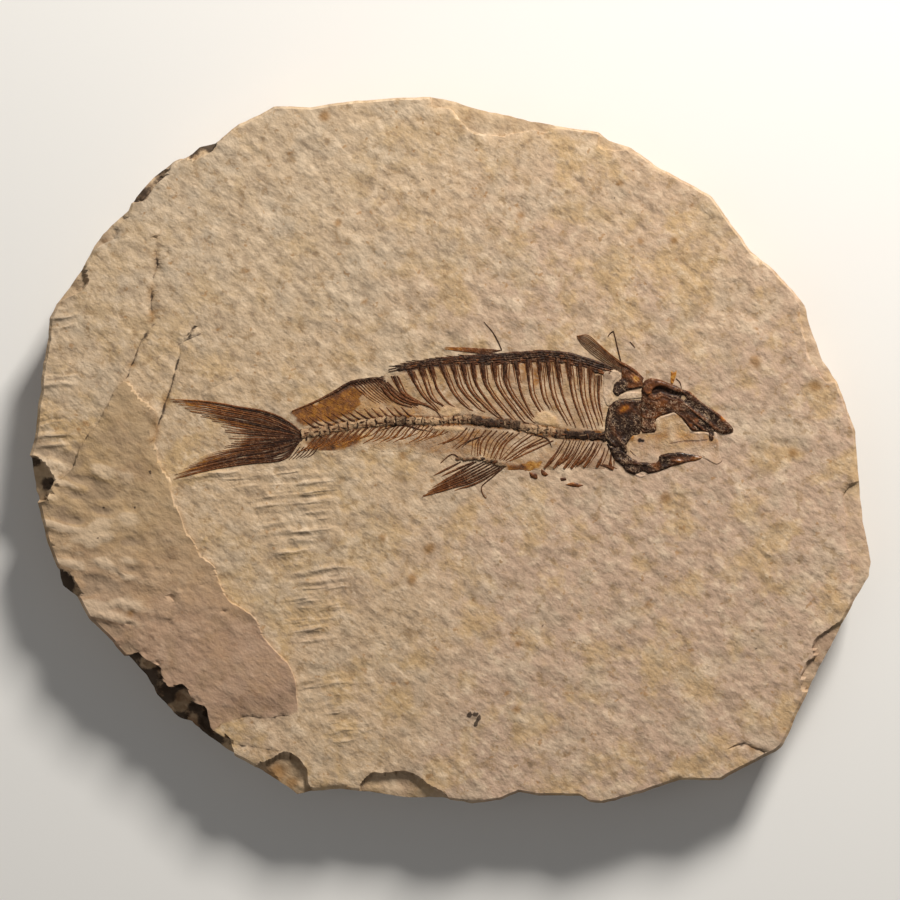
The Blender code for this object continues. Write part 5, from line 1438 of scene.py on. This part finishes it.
for name, outline, look, node, seed in (
        ("skull_roof", SKULL, skull_look, "skull", 520),
        ("gill_plates", GILL_COVER, gill_look, "gill_cover", 524),
        ("jaw_bone", LOWER_JAW, jaw_look, "lower_jaw", 528),
        ("shoulder_bones", SHOULDER, shoulder_look, "shoulder", 532)):
    bone = relief(name, outline, 0.11, look, head_paint, "head_bone", rough=0.22, seed=seed)
    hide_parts(node)

# Matrix about the head: pinkish bed in the cheek's window, with a bright broken rim, and pale
# chalky crumbs of the bed behind and below the skull.
CHEEK = (
    (40.1, 5.9), (41.0, 6.7), (42.6, 7.0), (43.8, 7.6), (45.2, 6.8), (45.9, 5.8), (46.8, 4.3),
    (48.0, 3.4), (49.6, 3.6), (51.8, 3.4), (52.6, 1.8), (52.6, 0.0), (53.4, -2.1), (52.4, -3.1),
    (49.4, -1.6), (47.9, -1.3), (45.5, -0.9), (42.6, -1.1), (41.2, -1.5), (40.8, -2.7), (39.1, -3.0),
    (37.1, -2.7), (35.0, -1.7), (34.4, -0.1), (34.6, 1.5), (35.4, 3.0), (37.1, 3.9), (40.3, 3.7),
)
CHEEK_RIM = (
    (37.3, 3.4), (40.4, 3.3), (40.2, 5.3), (40.7, 6.2), (42.4, 6.8), (43.8, 7.2), (45.0, 6.6),
    (45.7, 5.6), (47.1, 3.7), (48.5, 3.4), (50.4, 3.3), (51.2, 2.5),
)
PALE_CRUMBS = (
    ("throat_crumb", 0.9, ((36.1, -4.3), (37.1, -4.8), (38.6, -4.7), (38.1, -5.3), (37.1, -5.6),
                           (36.2, -5.2))),
    ("snout_crumb", 0.7, ((51.5, 3.6), (52.3, 3.6), (52.5, 1.8), (52.3, 0.0), (51.6, 0.2), (51.7, 1.8))),
    ("neck_crumb", 0.35, ((32.9, 9.8), (33.0, 10.9), (34.8, 11.4), (37.3, 11.5), (38.3, 10.9),
                          (37.5, 10.0), (35.2, 9.8))),
    ("neck_matrix", 0.28, ((29.9, 15.0), (30.5, 15.7), (31.7, 15.9), (33.2, 15.6), (33.6, 14.5),
                           (32.0, 13.2), (31.6, 11.2), (32.2, 9.9), (31.5, 8.7), (30.5, 8.5),
                           (29.9, 10.1), (29.7, 12.4))),
)


def cheek_look(x, y, depth):
    """Stained bed with a pale broken rim, a dark crack across it and one dark speck."""
    rim = smooth(0.35, 0.1, to_line(x + 0.25 * ripple(x, y, 0.9, 682), y, CHEEK_RIM)[0])
    rim = rim * smooth(-0.5, 0.3, ripple(x, y, 1.5, 684))
    bump_spot = spot_at(x, y, 35.4, 2.4, 1.0)
    pale = 0.05 + 0.75 * rim + 0.15 * smooth(1.2, -1.0, y) + 0.2 * ripple(x, y, 2.0, 680)
    stain = (0.16 + 0.26 * smooth(-0.5, 3.0, y)) * (1.0 - rim)
    stain = stain * (0.8 + 0.7 * ripple(x, y, 1.4, 683)) + 0.5 * bump_spot
    line = smooth(0.22, 0.05, to_line(x, y, ((43.0, 1.3), (45.9, 1.8), (48.3, 1.8), (50.2, 2.0)))[0])
    speck = np.maximum(spot_at(x, y, 37.1, 1.9, 0.6), spot_at(x, y, 37.7, 1.8, 0.45))
    stain = np.maximum(stain, np.maximum(0.75 * line, 1.3 * speck))
    tone = 0.70 - 0.4 * line - 0.80 * speck
    rise = 0.08 + 0.12 * rim + 0.10 * ripple(x, y, 2.4, 681) + 0.12 * bump_spot
    pale = pale * (1.0 - stain)
    return rise * smooth(-0.1, 0.4, depth) + 0.02, {"stain": stain, "tone": tone, "pale": pale}


relief("cheek_matrix", CHEEK, 0.15, cheek_look, skin_paint, "limestone", rough=0.12, seed=540)
for number, (name, whiteness, outline) in enumerate(PALE_CRUMBS):
    def crumb_look(x, y, depth):
        """Chalky lump with a few dark specks, as white as its row in the table says."""
        rise = 0.18 + 0.14 * ripple(x, y, 0.9, 690)
        pale = whiteness * (1.0 + 0.5 * ripple(x, y, 0.6, 691))
        specks = 0.5 * smooth(0.35, 0.7, ripple(x, y, 0.5, 692))
        tone = np.full(x.shape, 0.3)
        return rise * smooth(-0.1, 0.4, depth), {"stain": specks, "tone": tone, "pale": pale}

    relief(name, outline, 0.14, crumb_look, skin_paint, "limestone", rough=0.16, seed=544 + 4 * number)

# Scraps: chips of scale and bone below the back, a scrap of ochre film and hairs by the skull.
# They came loose from the skeleton before the bed closed over it.
CHIPS = (
    ((15.5, -4.2), (17.2, -4.5), (17.3, -5.8), (15.7, -5.3)),
    ((17.9, -3.6), (19.4, -4.8), (18.6, -5.4), (17.6, -4.6)),
    ((21.4, -5.5), (22.9, -5.4), (22.9, -6.1), (21.7, -6.1)),
    ((22.4, -6.8), (23.4, -6.3), (24.6, -6.3), (26.3, -6.9), (25.0, -7.4), (24.0, -7.2)),
)
OCHRE_SCRAP = (
    (43.1, 15.7), (43.8, 15.0), (44.3, 15.9), (44.3, 14.7), (44.0, 13.6), (43.6, 12.7), (43.1, 13.0),
    (43.1, 14.4),
)
HAIRS = (
    ((44.2, 14.0), (45.0, 13.2), (45.3, 12.0)), ((35.2, 21.2), (36.2, 20.0)),
    ((49.4, -1.1), (51.2, -2.1), (52.4, -2.7), (53.2, -2.1)), ((35.2, -0.1), (36.2, -1.1), (37.1, -1.7)),
)
chip_paint = bone_paint("chip_bone", 0.5, 0.1, 0.2)


def chip_look(x, y, depth):
    """Low and reddish brown, a little uneven."""
    rise = 0.20 + 0.08 * ripple(x, y, 0.8, 700)
    tone = 0.46 + 0.20 * ripple(x, y, 0.8, 701)
    return rise * smooth(-0.1, 0.35, depth), {"tone": tone}


def scrap_look(x, y, depth):
    """Thinner still, and ochre all over."""
    rise = 0.10 + 0.03 * ripple(x, y, 0.6, 702)
    return rise * smooth(-0.05, 0.2, depth), {"tone": np.full(x.shape, 0.88)}


for number, outline in enumerate(CHIPS, start=1):
    chip = relief(f"bone_chip_{number}", outline, 0.12, chip_look, chip_paint, "chip_bone", rough=0.12,
                  seed=560 + 4 * number)
    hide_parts(f"loose_chip_{number}")
relief("ochre_scrap", OCHRE_SCRAP, 0.1, scrap_look, chip_paint, "chip_bone", rough=0.06, seed=580)
hair_bars = [(line, (0.07, 0.10, 0.05), (0.15, 0.3)) for line in HAIRS]
bone_bars("hairs", hair_bars, chip_paint, wobble=0.05, seed=12)

# Stage: a plain pale floor, one large soft lamp from the upper right, and a camera straight
# above, as the slab was photographed.
PHOTO_WIDTH = 176.0       # width of the photograph's frame, on the bed
LENS = 100.0
SENSOR = 36.0
FLOOR_REACH = 3.0         # metres from the middle of the floor to its sides
FLOOR_DROP = 0.0002       # metres below the slab, so that the two faces stay apart
FLOOR_CORNERS = ((-1.0, -1.0, 0.0), (1.0, -1.0, 0.0), (1.0, 1.0, 0.0), (-1.0, 1.0, 0.0))

floor_mesh = bpy.data.meshes.new("floor")
floor_mesh.from_pydata((np.array(FLOOR_CORNERS) * FLOOR_REACH).tolist(), [], [(0, 1, 2, 3)])
floor = new_object("floor", floor_mesh)
floor.location.z = -FLOOR_DROP
floor_paint, shader, m = new_material("floor_paint")
shader.inputs["Base Color"].default_value = (0.78, 0.77, 0.75, 1.0)
shader.inputs["Roughness"].default_value = 0.9
floor_mesh.materials.append(floor_paint)


def area_lamp(name, place, size, power, colour):
    """Square lamp that shines on the middle of the slab."""
    lamp_data = bpy.data.lights.new(name, "AREA")
    lamp_data.size = size
    lamp_data.energy = power
    lamp_data.color = colour
    lamp = new_object(name, lamp_data)
    lamp.location = place
    lamp.rotation_euler = (-Vector(place)).to_track_quat("-Z", "Y").to_euler()


area_lamp("key", (0.27, 0.55, 0.37), 0.16, 8.2, (1.0, 0.96, 0.90))
area_lamp("fill", (-0.7, -0.3, 0.9), 1.0, 1.6, (0.98, 0.98, 0.98))
world = bpy.data.worlds.new("studio")
world.use_nodes = True
sky = world.node_tree.nodes["Background"]
sky.inputs["Color"].default_value = (1.0, 0.98, 0.95, 1.0)
sky.inputs["Strength"].default_value = 0.13
bpy.context.scene.world = world
bpy.context.scene.view_settings.view_transform = "Standard"

camera_data = bpy.data.cameras.new("camera")
camera_data.lens = LENS
camera_data.sensor_width = SENSOR
camera_data.clip_start = 0.01
camera = new_object("camera", camera_data)
camera.location = (0.0, 0.0, (BED + PHOTO_WIDTH * LENS / SENSOR) * MM)
bpy.context.scene.camera = camera
